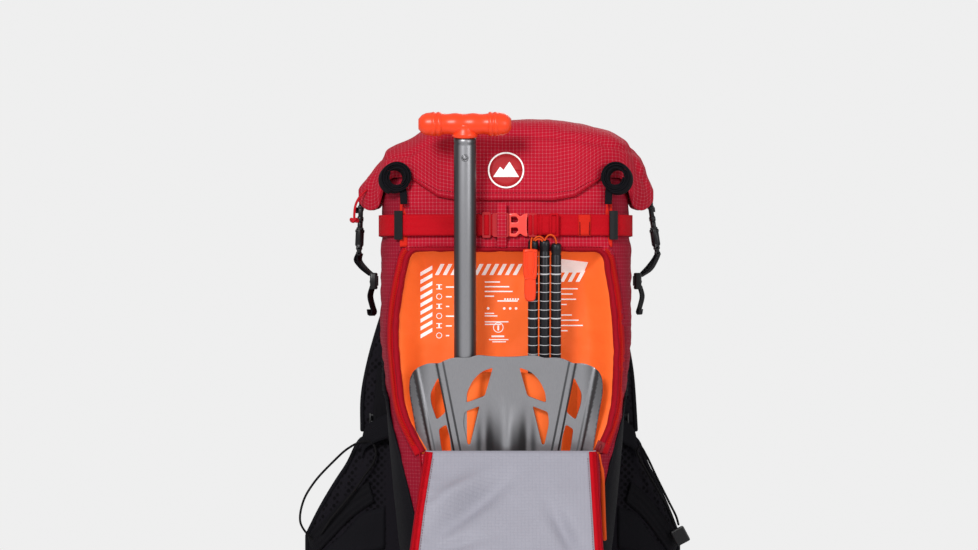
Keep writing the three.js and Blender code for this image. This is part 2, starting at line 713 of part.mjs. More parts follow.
// Stops of a shoulder strap: x, y, z, width, and how far inward the right strap hangs.
const SHOULDER_STOPS = [
  [68, 113.5, 470, 50, 0], [74, 135, 474, 58, 0], [88, 162, 446, 62, 0], [107, 178, 396, 62, 5],
  [125, 182, 344, 62, 10], [142, 176, 292, 58, 14], [151, 162, 252, 54, 17], [154, 149, 212, 48, 15],
];

function shoulderStraps() {
  for (const [side, sign] of SIDES) {
    // The right strap hangs a little nearer the middle than the left one.
    const stops = SHOULDER_STOPS.map(([x, y, z, width, inward]) => (
      [sign > 0 ? x - inward : x, y, z, width]));
    const path = stops.map(([x, y, z, width], i) => {
      const before = stops[Math.max(0, i - 1)];
      const after = stops[Math.min(stops.length - 1, i + 1)];
      const along = point(
        after[0] - before[0], after[1] - before[1], after[2] - before[2]).normalize();
      const across = point(1, 0, 0).addScaledVector(along, -along.x).normalize();
      const out = across.clone().cross(along).normalize();
      const mirror = (v) => point(sign * v.x, v.y, v.z);
      return {
        at: mirror(point(x, y, z)),
        width: mirror(across.multiplyScalar(width)),
        thick: mirror(out.multiplyScalar(11)),
      };
    });
    add(`shoulder_strap_${side}`, ribbon(path), BLACK_MESH);

    const sternum = toSolid(block([-12, 191, 338], [12, 194, 356]))
      .add(toSolid(block([10, 192, 340], [92, 193.6, 354])))
      .add(toSolid(block([90, 190.5, 337], [106, 195.5, 357])));
    const geometry = toGeometry(sternum);
    if (sign > 0) geometry.applyMatrix4(new THREE.Matrix4().makeScale(-1, 1, 1));
    if (sign > 0) geometry.setIndex(flipped(Array.from(geometry.index.array)));
    geometry.translate(sign * 118, 0, 0);
    add(`sternum_strap_${side}`, geometry, BLACK_PLASTIC);
  }
}

const WING_REACH = { left: 245, right: 214 };

function hipBelt() {
  for (const [side, sign] of SIDES) {
    const reach = WING_REACH[side];
    const root = 106;
    // Stops: share of the reach, middle y, bottom z, top z.
    const stops = [
      [0, 113, 22, 190], [0.2, 114, 16, 204], [0.36, 117, 11, 204], [0.54, 121.5, 8, 199],
      [0.62, 124.5, 8, 176], [0.74, 130, 8, 150], [0.9, 138, 14, 112], [1, 144, 26, 84],
    ];
    const path = stops.map(([share, y, low, high]) => ({
      at: point(sign * (root + share * (reach - root)), y, (low + high) / 2),
      width: point(0, 0, high - low),
      thick: point(0, 13, 0),
    }));
    add(`hip_wing_${side}`, ribbon(path), BLACK_MESH);
    hipBuckle(side, sign * (reach - 6));
  }
}

const HIP_BUCKLE_Y = 176;

// The webbing behind a wing's tip and the half of the waist buckle on its end.
function hipBuckle(side, x) {
  add(`hip_webbing_${side}`, block([x - 1, 152, 36], [x + 1, HIP_BUCKLE_Y - 0.4, 61]), BLACK_FABRIC);
  const body = toSolid(block([-3, 0, -16], [3, 37, 16]))
    .subtract(toSolid(block([-4, 5, -12], [4, 9, 12])));
  const male = body
    .subtract(toSolid(block([-4, 20, -9], [4, 38, -3])))
    .subtract(toSolid(block([-4, 20, 3], [4, 38, 9])));
  const female = body.subtract(toSolid(block([-1.5, 16, -13], [1.5, 38, 13])));
  const geometry = toGeometry(side === 'left' ? male : female);
  geometry.translate(x, HIP_BUCKLE_Y, 48.5);
  add(side === 'left' ? 'hip_buckle_male' : 'hip_buckle_female', geometry, BLACK_PLASTIC);
}

function haulLoop() {
  const across = [[-22, 91, 506], [-23, 104, 505], [-21, 110, 492], [-12, 110, 474], [12, 110, 474],
    [21, 110, 492], [23, 104, 505], [22, 91, 506]];
  const route = across.map(([x, y, z]) => point(x, y, z));
  add('haul_loop', tube(route, 7, 22), BLACK_FABRIC);
}

// ---------------------------------------------------------------- free cords

// The loop of thin elastic cord on the left hip wing, from its upper end round and back.
const ELASTIC_LEFT = [
  [-236, 132, 76], [-244, 128, 84], [-253, 124, 100], [-249, 118, 126], [-235, 112, 150], [-213, 108, 174],
  [-193, 105, 192], [-176, 104, 200], [-164, 103, 199], [-159, 102, 189], [-161, 102, 176],
  [-172, 103, 160], [-184, 105, 142], [-200, 109, 122], [-214, 115, 105], [-227, 123, 86],
];

// The loop on the right hip wing, from its cord lock up and back.
const ELASTIC_RIGHT = [
  [214, 125, 97], [211, 122, 107], [202, 118, 125], [186, 112, 157], [174, 107, 182], [166, 103.5, 194],
  [162, 103, 189], [166, 103, 178], [176, 105, 160], [189, 109, 138], [199, 113, 121], [206, 119, 105],
  [207.5, 122, 98],
];

// The short cord with a knot that hangs from the left ear of the roll.
const EAR_CORD = [
  [-166, -48, 506], [-171, -50, 501], [-176, -51.5, 494], [-179, -52, 486], [-180, -52, 477],
  [-180, -52, 470],
];

const asPoints = (route) => route.map(([x, y, z]) => point(x, y, z));

function freeCords() {
  add('elastic_cord_left', tube(asPoints(ELASTIC_LEFT), 2.8, 48), CORD_BLACK);
  add('elastic_cord_right', tube(asPoints(ELASTIC_RIGHT), 2.8, 40), CORD_BLACK);
  add('ear_cord', tube(asPoints(EAR_CORD), 3, 12), CORD_RED);
  const lock = block([-9, -5, -10], [9, 5, 10]);
  lock.rotateY(radians(-28));
  lock.translate(216, 122, 83);
  add('cord_lock_right', lock, BLACK_PLASTIC);
}

// ---------------------------------------------------------------- assembly

mainBag();
frameParts();
frontPocket();
mouthZip();
frontFlap();
zipSlider();
compressionStrap();
strapKeepers();
sidePockets();
rollTop();
shovelShaft();
shovelBlade();
avalancheProbe();
shoulderStraps();
hipBelt();
haulLoop();
freeCords();

export default pack;
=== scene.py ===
import math
from itertools import product

import bpy
import numpy as np
from mathutils import Matrix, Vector
from mathutils.geometry import delaunay_2d_cdt


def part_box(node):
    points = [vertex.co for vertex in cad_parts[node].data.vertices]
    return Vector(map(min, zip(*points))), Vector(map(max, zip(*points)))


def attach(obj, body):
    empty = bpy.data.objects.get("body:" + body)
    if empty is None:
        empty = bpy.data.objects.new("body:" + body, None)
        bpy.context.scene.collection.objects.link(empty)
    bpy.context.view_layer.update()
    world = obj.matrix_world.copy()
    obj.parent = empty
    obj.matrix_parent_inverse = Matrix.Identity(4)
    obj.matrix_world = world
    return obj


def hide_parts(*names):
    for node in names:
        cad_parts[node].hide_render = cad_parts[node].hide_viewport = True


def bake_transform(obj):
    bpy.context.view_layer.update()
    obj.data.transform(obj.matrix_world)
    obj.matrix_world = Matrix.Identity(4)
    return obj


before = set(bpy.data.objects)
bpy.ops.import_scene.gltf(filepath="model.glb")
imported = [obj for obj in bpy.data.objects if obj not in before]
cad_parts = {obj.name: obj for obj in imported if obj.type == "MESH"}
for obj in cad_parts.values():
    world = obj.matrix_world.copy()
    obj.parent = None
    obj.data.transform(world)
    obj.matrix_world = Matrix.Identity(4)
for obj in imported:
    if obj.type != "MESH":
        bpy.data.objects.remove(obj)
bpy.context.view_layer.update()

# The looks of a ski touring backpack. Lengths below are millimetres unless a name ends in _M.
# +Z is up, the front pocket faces -Y, the wearer's back is at +Y.

# ---------------------------------------------------------------- driving dimensions

MM = 0.001
BASE_TOP = 4                # top of the base panel
RIM_Z = 520                 # rim of the main compartment
MOUTH_TOP = 434             # top edge of the front pocket's mouth
CENTRE_Y = -6               # middle of the body's cross-section
BACK_DEPTH = 94             # from that middle to the back wall
FRONT_POWER = 4.2           # squareness of the cross-section in front
BACK_POWER = 9              # and at the back
FOLD_Z, FOLD_Y = 200, -129  # fold line of the front flap
FLAP_LENGTH = 236
FLAP_TURN_UP = 12           # how far the flap's cloth goes up behind the fold
FLAP_LEAN = math.radians(35)
TOOL_LEAN = math.radians(9)
STRAP_Z = 463.5             # middle of the front compression strap
STRAP_WIDTH = 25
SIDE_STRAP_Y = -7
RIPSTOP_PITCH = 4.3
BRAID_PITCH = 1.6
PRINT_LIFT = 0.7            # how far the print stands off the lining
POCKET_WALL_Y = -62         # the lining at the back of the front pocket

# Body stations: height, half width, front depth.
BODY = np.array([
    [4.3, 112, 74], [30, 117, 86], [70, 122, 98], [130, 128, 112], [198, 134, 119], [260, 141, 118],
    [341, 149, 114], [400, 149, 109], [450, 147, 106], [490, 144, 102], [520, 140, 98],
], float)

# The pocket mouth and the flap as x, height and corner radius, from lower right round to lower left.
MOUTH = [
    [108, 198, 6], [126, 246, 20], [129, 320, 40], [124, 380, 40], [114, MOUTH_TOP, 12],
    [-113, MOUTH_TOP, 12], [-125, 380, 40], [-129, 330, 40], [-121, 246, 20], [-96, 198, 6],
]
FLAP = [
    [105, -3, 0], [107, -60, 30], [110, -147, 30], [114, -200, 20], [105, -FLAP_LENGTH, 16],
    [-105, -FLAP_LENGTH, 16], [-115, -200, 20], [-109, -130, 30], [-101, -60, 30], [-94, -3, 0],
]

SIDES = (("left", -1), ("right", 1))

# Routes of the free cords, as in the CAD model.
ELASTIC_LEFT = [
    [-236, 132, 76], [-244, 128, 84], [-253, 124, 100], [-249, 118, 126], [-235, 112, 150], [-213, 108, 174],
    [-193, 105, 192], [-176, 104, 200], [-164, 103, 199], [-159, 102, 189], [-161, 102, 176],
    [-172, 103, 160], [-184, 105, 142], [-200, 109, 122], [-214, 115, 105], [-227, 123, 86],
]
ELASTIC_RIGHT = [
    [214, 125, 97], [211, 122, 107], [202, 118, 125], [186, 112, 157], [174, 107, 182], [166, 103.5, 194],
    [162, 103, 189], [166, 103, 178], [176, 105, 160], [189, 109, 138], [199, 113, 121], [206, 119, 105],
    [207.5, 122, 98],
]
EAR_CORD = [
    [-166, -48, 506], [-171, -50, 501], [-176, -51.5, 494], [-179, -52, 486], [-180, -52, 477],
    [-180, -52, 470],
]

# ---------------------------------------------------------------- numbers and curves


def noise(points, size, seed=0):
    """Smooth noise from -1 to 1 at points, with bumps about size across."""
    place = np.asarray(points, float) / size
    cell = np.floor(place).astype(np.int64)
    part = place - cell
    part = part * part * (3 - 2 * part)
    total = np.zeros(place.shape[:-1])
    for corner in product((0, 1), repeat=3):
        at = cell + np.array(corner)
        code = at[..., 0] * 374761393 + at[..., 1] * 668265263 + at[..., 2] * 1442695041 + seed * 97561
        code = (code ^ (code >> 13)) * 1274126177
        value = ((code ^ (code >> 16)) & 0xFFFF) / 32767.5 - 1
        total += value * np.prod(np.where(corner, part, 1 - part), axis=-1)
    return total


def ease(value, low, high):
    """From 0 at low to 1 at high, smoothly."""
    t = np.clip((np.asarray(value, float) - low) / (high - low), 0, 1)
    return t * t * (3 - 2 * t)


def hump(value, middle, width):
    """A soft bump: 1 at its middle and almost 0 at twice its width."""
    return np.exp(-((value - middle) / width) ** 2)


def signed_power(value, power):
    """A power that keeps the value's sign, which squares off the sine and cosine of a circle."""
    return np.sign(value) * np.abs(value)**power


def stacked(*parts):
    """Coordinates, spread to one shape, as the last axis of one array."""
    return np.stack(np.broadcast_arrays(*parts), -1)


def full_turn(count):
    """Angles round a circle."""
    return np.linspace(0, 2 * np.pi, count, endpoint=False)


def curve_at(x, xs, ys):
    """A smooth curve through a table's points."""
    xs, ys = np.asarray(xs, float), np.asarray(ys, float)
    slopes = np.gradient(ys, xs)
    i = np.clip(np.searchsorted(xs, x) - 1, 0, len(xs) - 2)
    step = xs[i + 1] - xs[i]
    t = np.clip((x - xs[i]) / step, 0, 1)
    return ((2 * t**3 - 3 * t**2 + 1) * ys[i] + (t**3 - 2 * t**2 + t) * step * slopes[i]
            + (3 * t**2 - 2 * t**3) * ys[i + 1] + (t**3 - t**2) * step * slopes[i + 1])


def table_at(value, table):
    """The other columns of a table at a value of its first, on smooth curves through its rows."""
    return [curve_at(value, table[:, 0], column) for column in table.T[1:]]


def lengths(path):
    """Arc length from the first point to each point."""
    steps = np.linalg.norm(np.diff(path[:, :3], axis=0), axis=1)
    return np.concatenate([[0], np.cumsum(steps)])


def resampled(path, step):
    """Even points along a path, about one step apart, with any further columns that it has."""
    along = lengths(path)
    count = max(2, int(round(along[-1] / step)) + 1)
    wanted = np.linspace(0, along[-1], count)
    return np.stack([np.interp(wanted, along, column) for column in path.T], axis=1)


def smooth_path(stops, step):
    """Points every step along a smooth centripetal curve through the stops."""
    p = np.asarray(stops, float)
    p = np.vstack([2 * p[0] - p[1], p, 2 * p[-1] - p[-2]])
    fine = []
    for a, b, c, d in zip(p, p[1:], p[2:], p[3:]):
        t = np.cumsum([0] + [max(np.linalg.norm((v - u)[:3]), 1e-6) ** 0.5
                             for u, v in ((a, b), (b, c), (c, d))])
        for s in np.linspace(t[1], t[2], 14, endpoint=False):
            ab, bc, cd = (u + (v - u) * (s - t[i]) / (t[i + 1] - t[i])
                          for i, (u, v) in enumerate(((a, b), (b, c), (c, d))))
            abc = ab + (bc - ab) * (s - t[0]) / (t[2] - t[0])
            bcd = bc + (cd - bc) * (s - t[1]) / (t[3] - t[1])
            fine.append(abc + (bcd - abc) * (s - t[1]) / (t[2] - t[1]))
    return resampled(np.array(fine + [p[-2]]), step)


def unit(vectors):
    """Vectors scaled to length 1."""
    vectors = np.asarray(vectors, float)
    return vectors / np.maximum(np.linalg.norm(vectors, axis=-1, keepdims=True), 1e-9)


def rounded(corners, step, closed=True):
    """Points along an outline of x, z, radius corners, at about one step apart."""
    corners = [np.array(c, float) for c in corners]
    line = []
    count = len(corners)
    for i, corner in enumerate(corners):
        if not closed and i in (0, count - 1):
            line.append(corner[:2])
            continue
        before, after = corners[i - 1][:2] - corner[:2], corners[(i + 1) % count][:2] - corner[:2]
        cut = min(corner[2], 0.45 * np.linalg.norm(before), 0.45 * np.linalg.norm(after))
        start, end = corner[:2] + unit(before) * cut, corner[:2] + unit(after) * cut
        for t in np.linspace(0, 1, 7):
            line.append((1 - t) ** 2 * start + 2 * t * (1 - t) * corner[:2] + t * t * end)
    line = np.array(line + [line[0]] if closed else line)
    even = resampled(line, step)
    return even[:-1] if closed else even


def outward_2d(line):
    """Unit normals of a line in x and z, to the right of its direction."""
    along = unit(np.gradient(line, axis=0))
    return np.column_stack([along[:, 1], -along[:, 0]])


def inside(points, outline):
    """Which points in x and z lie inside a closed outline."""
    x, z = points[:, 0], points[:, 1]
    found = np.zeros(len(points), bool)
    for (x0, z0), (x1, z1) in zip(outline, np.roll(outline, -1, axis=0)):
        if z0 == z1:
            continue
        crosses = (z0 > z) != (z1 > z)
        found ^= crosses & (x < (x1 - x0) * (z - z0) / (z1 - z0) + x0)
    return found


def distance_to(points, outline):
    """Distance in x and z from each point to the nearest point of an outline."""
    nearest = np.full(len(points), 1e9)
    for at in outline:
        nearest = np.minimum(nearest, np.hypot(*(points - at).T))
    return nearest


# ---------------------------------------------------------------- shapes


class Shape:
    """Points in millimetres, faces, and a place on the cloth (UV, millimetres) for each point."""

    def __init__(self, points, faces, uv=None):
        self.points = np.asarray(points, float)
        self.faces = [list(face) for face in faces]
        self.uv = np.zeros((len(self.points), 2)) if uv is None else np.asarray(uv, float)


def together(shapes):
    """Several shapes as one."""
    points, faces, uv, shift = [], [], [], 0
    for shape in shapes:
        points.append(shape.points)
        uv.append(shape.uv)
        faces += [[i + shift for i in face] for face in shape.faces]
        shift += len(shape.points)
    return Shape(np.vstack(points), faces, np.vstack(uv))


def grid(points, uv=None, closed=False):
    """A sheet through a grid of points, rows by columns; closed joins its last column to its first."""
    rows, columns = points.shape[:2]
    wide = columns if closed else columns - 1
    r, c = np.mgrid[0:rows - 1, 0:wide]
    a, b = r * columns + c, r * columns + (c + 1) % columns
    faces = stacked(a, b, b + columns, a + columns).reshape(-1, 4)
    return Shape(points.reshape(-1, 3), faces.tolist(), None if uv is None else uv.reshape(-1, 2))


def loft(rings, uv=None):
    """A closed solid through rings of equal length."""
    rings = np.asarray(rings, float)
    count, size = rings.shape[:2]
    if uv is None:
        around = np.linalg.norm(np.roll(rings, -1, axis=1) - rings, axis=2)
        u = np.cumsum(around, axis=1) - around
        v = np.cumsum(np.r_[0, np.linalg.norm(np.diff(rings.mean(axis=1), axis=0), axis=1)])
        uv = stacked(v[:, None], u)
    shape = grid(rings, uv, closed=True)
    for level, order in ((0, -1), (count - 1, 1)):
        hub = len(shape.points)
        shape.points = np.vstack([shape.points, rings[level].mean(axis=0)])
        shape.uv = np.vstack([shape.uv, shape.uv[level * size]])
        for i in range(size):
            pair = [level * size + i, level * size + (i + 1) % size][::order]
            shape.faces.append([*pair, hub])
    return shape


def lathe(profile, sides=40):
    """A solid of revolution round +Z from a profile of radius and height."""
    angles = full_turn(sides)
    return loft([[[r * math.cos(a), r * math.sin(a), h] for a in angles] for r, h in profile])


def frames_along(path, first=None):
    """Two unit vectors across a path at each of its points, turning as little as they can."""
    along = unit(np.gradient(path, axis=0))
    start = np.array(first if first is not None else ([0, 0, 1] if abs(along[0][2]) < 0.9 else [1, 0, 0]))
    side = []
    for t in along:
        start = unit(start - t * (start @ t))
        side.append(start)
    side = np.array(side)
    return side, np.cross(along, side)


def tube(path, radius, sides=12, round_ends=True):
    """A round bar along a path. radius is one number or one for each point."""
    path = np.asarray(path, float)
    radius = np.broadcast_to(np.asarray(radius, float), len(path)).copy()
    side, other = frames_along(path)
    if round_ends:
        tip, tail = unit(path[0] - path[1]), unit(path[-1] - path[-2])
        grow = [(0.25, 0.97), (0.6, 0.8), (0.9, 0.45)]
        before = [(path[0] + tip * radius[0] * d, radius[0] * r, side[0], other[0]) for d, r in grow[::-1]]
        after = [(path[-1] + tail * radius[-1] * d, radius[-1] * r, side[-1], other[-1]) for d, r in grow]
        stops = before + list(zip(path, radius, side, other)) + after
    else:
        stops = list(zip(path, radius, side, other))
    angles = full_turn(sides)
    return loft([[at + r * (math.cos(a) * n + math.sin(a) * b) for a in angles] for at, r, n, b in stops])


def ribbon(path, width_vector, columns=7, crown=0.0):
    """A band along a path, spanned by a width vector that is one vector or one for each point."""
    path = np.asarray(path, float)
    span = np.broadcast_to(np.asarray(width_vector, float), path.shape)
    normal = unit(np.cross(span, np.gradient(path, axis=0)))
    across = np.linspace(-0.5, 0.5, columns)
    points = path[:, None] + span[:, None] * across[:, None]
    points = points + normal[:, None] * (crown * (1 - 4 * across**2))[:, None]
    along = lengths(path)
    widths = np.linalg.norm(span, axis=1)
    uv = stacked(along[:, None], widths[:, None] * across)
    return grid(points, uv)


def rounded_box(size, radius):
    """A block with rounded long edges, centred on the origin."""
    half = np.array(size, float) / 2
    radius = min(radius, 0.45 * min(size))
    outline = rounded([[-half[0], -half[1], radius], [half[0], -half[1], radius],
                       [half[0], half[1], radius], [-half[0], half[1], radius]], max(radius, 0.5))
    rings = []
    for z, inset in ((-half[2], radius), (-half[2] + radius * 0.4, radius * 0.3), (-half[2] + radius, 0),
                     (half[2] - radius, 0), (half[2] - radius * 0.4, radius * 0.3), (half[2], radius)):
        shrink = (half[:2] - inset) / half[:2]
        rings.append(np.column_stack([outline * shrink, np.full(len(outline), z)]))
    return loft(rings)


def placed(shape, at=(0, 0, 0), axes=None):
    """A shape turned to three axes and moved."""
    turned = shape.points if axes is None else shape.points @ np.asarray(axes, float)
    return Shape(turned + np.asarray(at, float), shape.faces, shape.uv)


def block(size, radius, at, axes=None):
    """A rounded block at a place."""
    return placed(rounded_box(size, radius), at, axes)


def plate(outline, holes, surface, spacing, creases=()):
    """A sheet cut to an outline with holes, laid on a surface: a function of x and z that gives points.

    Its edges follow the creases, which are straight open lines.
    """
    loops = [outline, *holes]
    low, high = outline.min(axis=0), outline.max(axis=0)
    xs, zs = np.meshgrid(np.arange(low[0], high[0], spacing), np.arange(low[1], high[1], spacing * 0.87))
    xs = xs + (np.arange(len(xs)) % 2)[:, None] * spacing / 2
    inner = np.column_stack([xs.ravel(), zs.ravel()])
    keep = inside(inner, outline)
    for hole in holes:
        keep &= ~inside(inner, hole)
    for line in [*loops, *creases]:
        keep[keep] = distance_to(inner[keep], line) > spacing * 0.55
    inner = inner[keep]
    flat = np.vstack([*loops, *creases, inner])
    edges, start = [], 0
    for loop in loops:
        edges += [(start + i, start + (i + 1) % len(loop)) for i in range(len(loop))]
        start += len(loop)
    for line in creases:
        edges += [(start + i, start + i + 1) for i in range(len(line) - 1)]
        start += len(line)
    verts, _, faces, *_ = delaunay_2d_cdt([tuple(p) for p in flat.tolist()], edges, [], 0, 1e-6)
    verts = np.array([tuple(v) for v in verts])
    faces = np.array(faces)
    middle = verts[faces].mean(axis=1)
    keep = inside(middle, outline)
    for hole in holes:
        keep &= ~inside(middle, hole)
    return Shape(surface(verts[:, 0], verts[:, 1]), faces[keep].tolist(), verts)


# ---------------------------------------------------------------- materials


def colour(code):
    """Linear red, green and blue from a hex code."""
    channels = [int(code[i:i + 2], 16) / 255 for i in (1, 3, 5)]
    return [c / 12.92 if c <= 0.04045 else ((c + 0.055) / 1.055) ** 2.4 for c in channels]


def shaded(base, factor):
    """A colour made lighter or darker, with its alpha."""
    return (*[min(1, c * factor) for c in base], 1)


class Finish:
    """A material built from shader nodes. Places inside it are millimetres."""

    def __init__(self, name, roughness, metallic=0.0, specular=0.5, coat=0.0):
        self.material = bpy.data.materials.new(name)
        self.material.use_nodes = True
        self.tree = self.material.node_tree
        self.surface = self.tree.nodes["Principled BSDF"].inputs
        self.surface["Roughness"].default_value = roughness
        self.surface["Metallic"].default_value = metallic
        self.surface["Specular IOR Level"].default_value = specular
        self.surface["Coat Weight"].default_value = coat

    def feed(self, socket, value):
        if isinstance(value, bpy.types.NodeSocket):
            self.tree.links.new(value, socket)
        elif value is not None:
            socket.default_value = value

    def math(self, operation, a, b=None, clamp=False):
        node = self.tree.nodes.new("ShaderNodeMath")
        node.operation = operation
        node.use_clamp = clamp
        for socket, value in zip(node.inputs, (a, b)):
            self.feed(socket, value)
        return node.outputs[0]

    def plus(self, a, b, clamp=False):
        return self.math("ADD", a, b, clamp)

    def times(self, a, b):
        return self.math("MULTIPLY", a, b)

    def mix(self, factor, a, b):
        node = self.tree.nodes.new("ShaderNodeMix")
        node.data_type = "RGBA"
        for i, value in ((0, factor), (6, a), (7, b)):
            self.feed(node.inputs[i], value)
        return node.outputs[2]

    def place(self, space="UV", stretch=(1, 1, 1), turn=(0, 0, 0)):
        """Texture places in millimetres, from the cloth's UV or the piece's own frame."""
        source = self.tree.nodes.new("ShaderNodeTexCoord").outputs[space]
        node = self.tree.nodes.new("ShaderNodeMapping")
        self.feed(node.inputs["Vector"], source)
        node.inputs["Rotation"].default_value = turn
        node.inputs["Scale"].default_value = [1000 * s for s in stretch]
        return node.outputs[0]

    def split(self, vector):
        node = self.tree.nodes.new("ShaderNodeSeparateXYZ")
        self.feed(node.inputs[0], vector)
        return node.outputs

    def noise(self, vector, size, detail=2.0):
        node = self.tree.nodes.new("ShaderNodeTexNoise")
        self.feed(node.inputs["Vector"], vector)
        node.inputs["Scale"].default_value = 1 / size
        node.inputs["Detail"].default_value = detail
        return node.outputs["Fac"]

    def cells(self, vector, size, randomness=0.1):
        node = self.tree.nodes.new("ShaderNodeTexVoronoi")
        self.feed(node.inputs["Vector"], vector)
        node.inputs["Scale"].default_value = 1 / size
        node.inputs["Randomness"].default_value = randomness
        return node.outputs["Distance"]

    def range(self, value, low, high, to_low, to_high):
        node = self.tree.nodes.new("ShaderNodeMapRange")
        node.interpolation_type = "SMOOTHSTEP"
        for i, item in enumerate((value, low, high, to_low, to_high)):
            self.feed(node.inputs[i], item)
        return node.outputs[0]

    def wave(self, value, pitch):
        """A smooth wave from -1 to 1."""
        return self.math("SINE", self.times(value, 2 * math.pi / pitch))

    def line(self, value, pitch, width):
        """1 on lines a pitch apart, 0 between them."""
        return self.range(self.math("PINGPONG", value, pitch / 2), width * 0.3, width * 0.7, 1, 0)

    def bump(self, height):
        """Height in millimetres."""
        node = self.tree.nodes.new("ShaderNodeBump")
        node.inputs["Strength"].default_value = 1.0
        node.inputs["Distance"].default_value = MM
        self.feed(node.inputs["Height"], height)
        self.feed(self.surface["Normal"], node.outputs[0])

    def painted_glow(self, tone, strength):
        """Painted light: the surface glows with its own colour, brightening it where the lamps leave it in
        shade, though it is no lamp.
        """
        self.feed(self.surface["Emission Color"], tone)
        self.surface["Emission Strength"].default_value = strength

    def done(self, base_colour):
        self.feed(self.surface["Base Color"], base_colour)
        return self.material


def cloth(name, base, roughness=0.72, space="UV", pitch=0.9, relief=0.06, blotch=0.12, specular=0.1,
          grid_lines=None, painted_glow=0.0):
    """Woven cloth. grid_lines is a ripstop grid's colour, strength and thread width."""
    base = colour(base)
    look = Finish(name, roughness, specular=specular)
    place = look.place(space)
    x, y, z = look.split(place)
    if space == "Object":
        x, y = look.plus(x, y), z
    tone = look.mix(look.noise(place, 34, 3), shaded(base, 1 - blotch), shaded(base, 1 + blotch))
    threads = look.times(look.wave(x, pitch), look.wave(y, pitch))
    tone = look.mix(look.range(threads, -1, 1, 0.22, 0), tone, shaded(base, 0.45))
    height = look.times(threads, relief)
    height = look.plus(height, look.times(look.noise(place, 9, 3), 0.5))
    if grid_lines:
        line_code, strength, thread = grid_lines
        warp, weft = look.line(x, RIPSTOP_PITCH, thread), look.line(y, RIPSTOP_PITCH, thread)
        either = look.math("MAXIMUM", warp, weft)
        crossing = look.times(warp, weft)
        amount = look.plus(look.times(either, strength),
                        look.times(crossing, 0.42), clamp=True)
        tone = look.mix(amount, tone, (*colour(line_code), 1))
        height = look.plus(height, look.times(either, 0.12))
    look.bump(height)
    # Painted light: the cloth glows with its own colour.
    if painted_glow:
        look.painted_glow(tone, painted_glow)
    return look.done(tone)


def webbing(name, base, rib=1.5):
    """Narrow woven band: ribs along it, with a slanted weave over them."""
    base = colour(base)
    look = Finish(name, 0.6, specular=0.08)
    place = look.place("UV")
    x, y, _ = look.split(place)
    slant = look.wave(look.plus(x, look.math("PINGPONG", y, 4)), 1.3)
    ribs = look.wave(y, rib)
    tone = look.mix(look.noise(place, 22, 2), shaded(base, 0.88), shaded(base, 1.12))
    tone = look.mix(look.range(slant, -1, 1, 0.35, 0), tone, shaded(base, 0.55))
    look.bump(look.plus(look.times(slant, 0.08), look.times(ribs, 0.07)))
    return look.done(tone)


def spacer_mesh(name, base, size):
    """Open diamond mesh over foam."""
    base = colour(base)
    look = Finish(name, 0.85, specular=0.1)
    place = look.place("Object", turn=(0, math.pi / 4, 0))
    distance = look.cells(place, size, 0.08)
    rim = look.range(distance, 0.18, 0.5, 0, 1)
    # The cells' middles, the mesh's holes, are darkened as painted shade in their recesses.
    tone = look.mix(rim, shaded(base, 0.25), shaded(base, 1.6))
    tone = look.mix(look.times(look.noise(look.place("Object"), 0.9, 2), 0.4), tone, shaded(base, 0.6))
    look.bump(look.times(rim, 0.9))
    return look.done(tone)


def plastic(name, base, roughness=0.36, coat=0.1, painted_glow=0.0):
    """Moulded plastic or ink, with a fine grain and a few scuffs."""
    base = colour(base)
    look = Finish(name, roughness, specular=0.35, coat=coat)
    place = look.place("Object")
    look.surface["Coat Roughness"].default_value = 0.3
    tone = look.mix(look.noise(place, 12, 3), shaded(base, 0.9), shaded(base, 1.1))
    scuffs = look.range(look.noise(look.place("Object", (1, 1, 0.2)), 1.6, 4), 0.62, 0.8, 0, 0.25)
    look.feed(look.surface["Roughness"], look.plus(scuffs, roughness))
    look.bump(look.times(look.noise(place, 0.5, 2), 0.03))
    # Painted light: the plastic or ink glows with its own colour.
    if painted_glow:
        look.painted_glow(tone, painted_glow)
    return look.done(tone)


def metal(name, base, roughness, metallic, painted_edge_shade=0.0):
    """Anodised metal, brushed along +Z. painted_edge_shade is how far painted shade darkens it where it turns
    away from view, a painted reflection of dark surroundings.
    """
    base = colour(base)
    look = Finish(name, roughness, metallic=metallic)
    brushed = look.noise(look.place("Object", (1, 1, 0.08)), 0.8, 3)
    tone = look.mix(brushed, shaded(base, 0.9), shaded(base, 1.1))
    turned = look.tree.nodes.new("ShaderNodeLayerWeight").outputs["Facing"]
    # Painted shade: darker where the surface turns away from view, standing in for dark surroundings
    # reflected at its edges.
    tone = look.mix(look.range(turned, 0.02, 0.26, 0, painted_edge_shade), tone, shaded(base, 0.1))
    wear = look.range(look.noise(look.place("Object"), 7, 5), 0.6, 0.78, 0, 0.14)
    look.feed(look.surface["Roughness"], look.plus(wear, roughness))
    look.bump(look.times(brushed, 0.02))
    return look.done(tone)


def braid(name, base):
    """Braided cord: crossed slanted strands."""
    base = colour(base)
    look = Finish(name, 0.75, specular=0.15)
    x, y, _ = look.split(look.place("UV"))
    first = look.wave(look.plus(x, y), BRAID_PITCH)
    second = look.wave(look.math("SUBTRACT", x, y), BRAID_PITCH)
    strands = look.times(first, second)
    tone = look.mix(look.range(strands, -1, 1, 0, 1), shaded(base, 0.6), shaded(base, 1.25))
    look.bump(look.times(strands, 0.15))
    return look.done(tone)


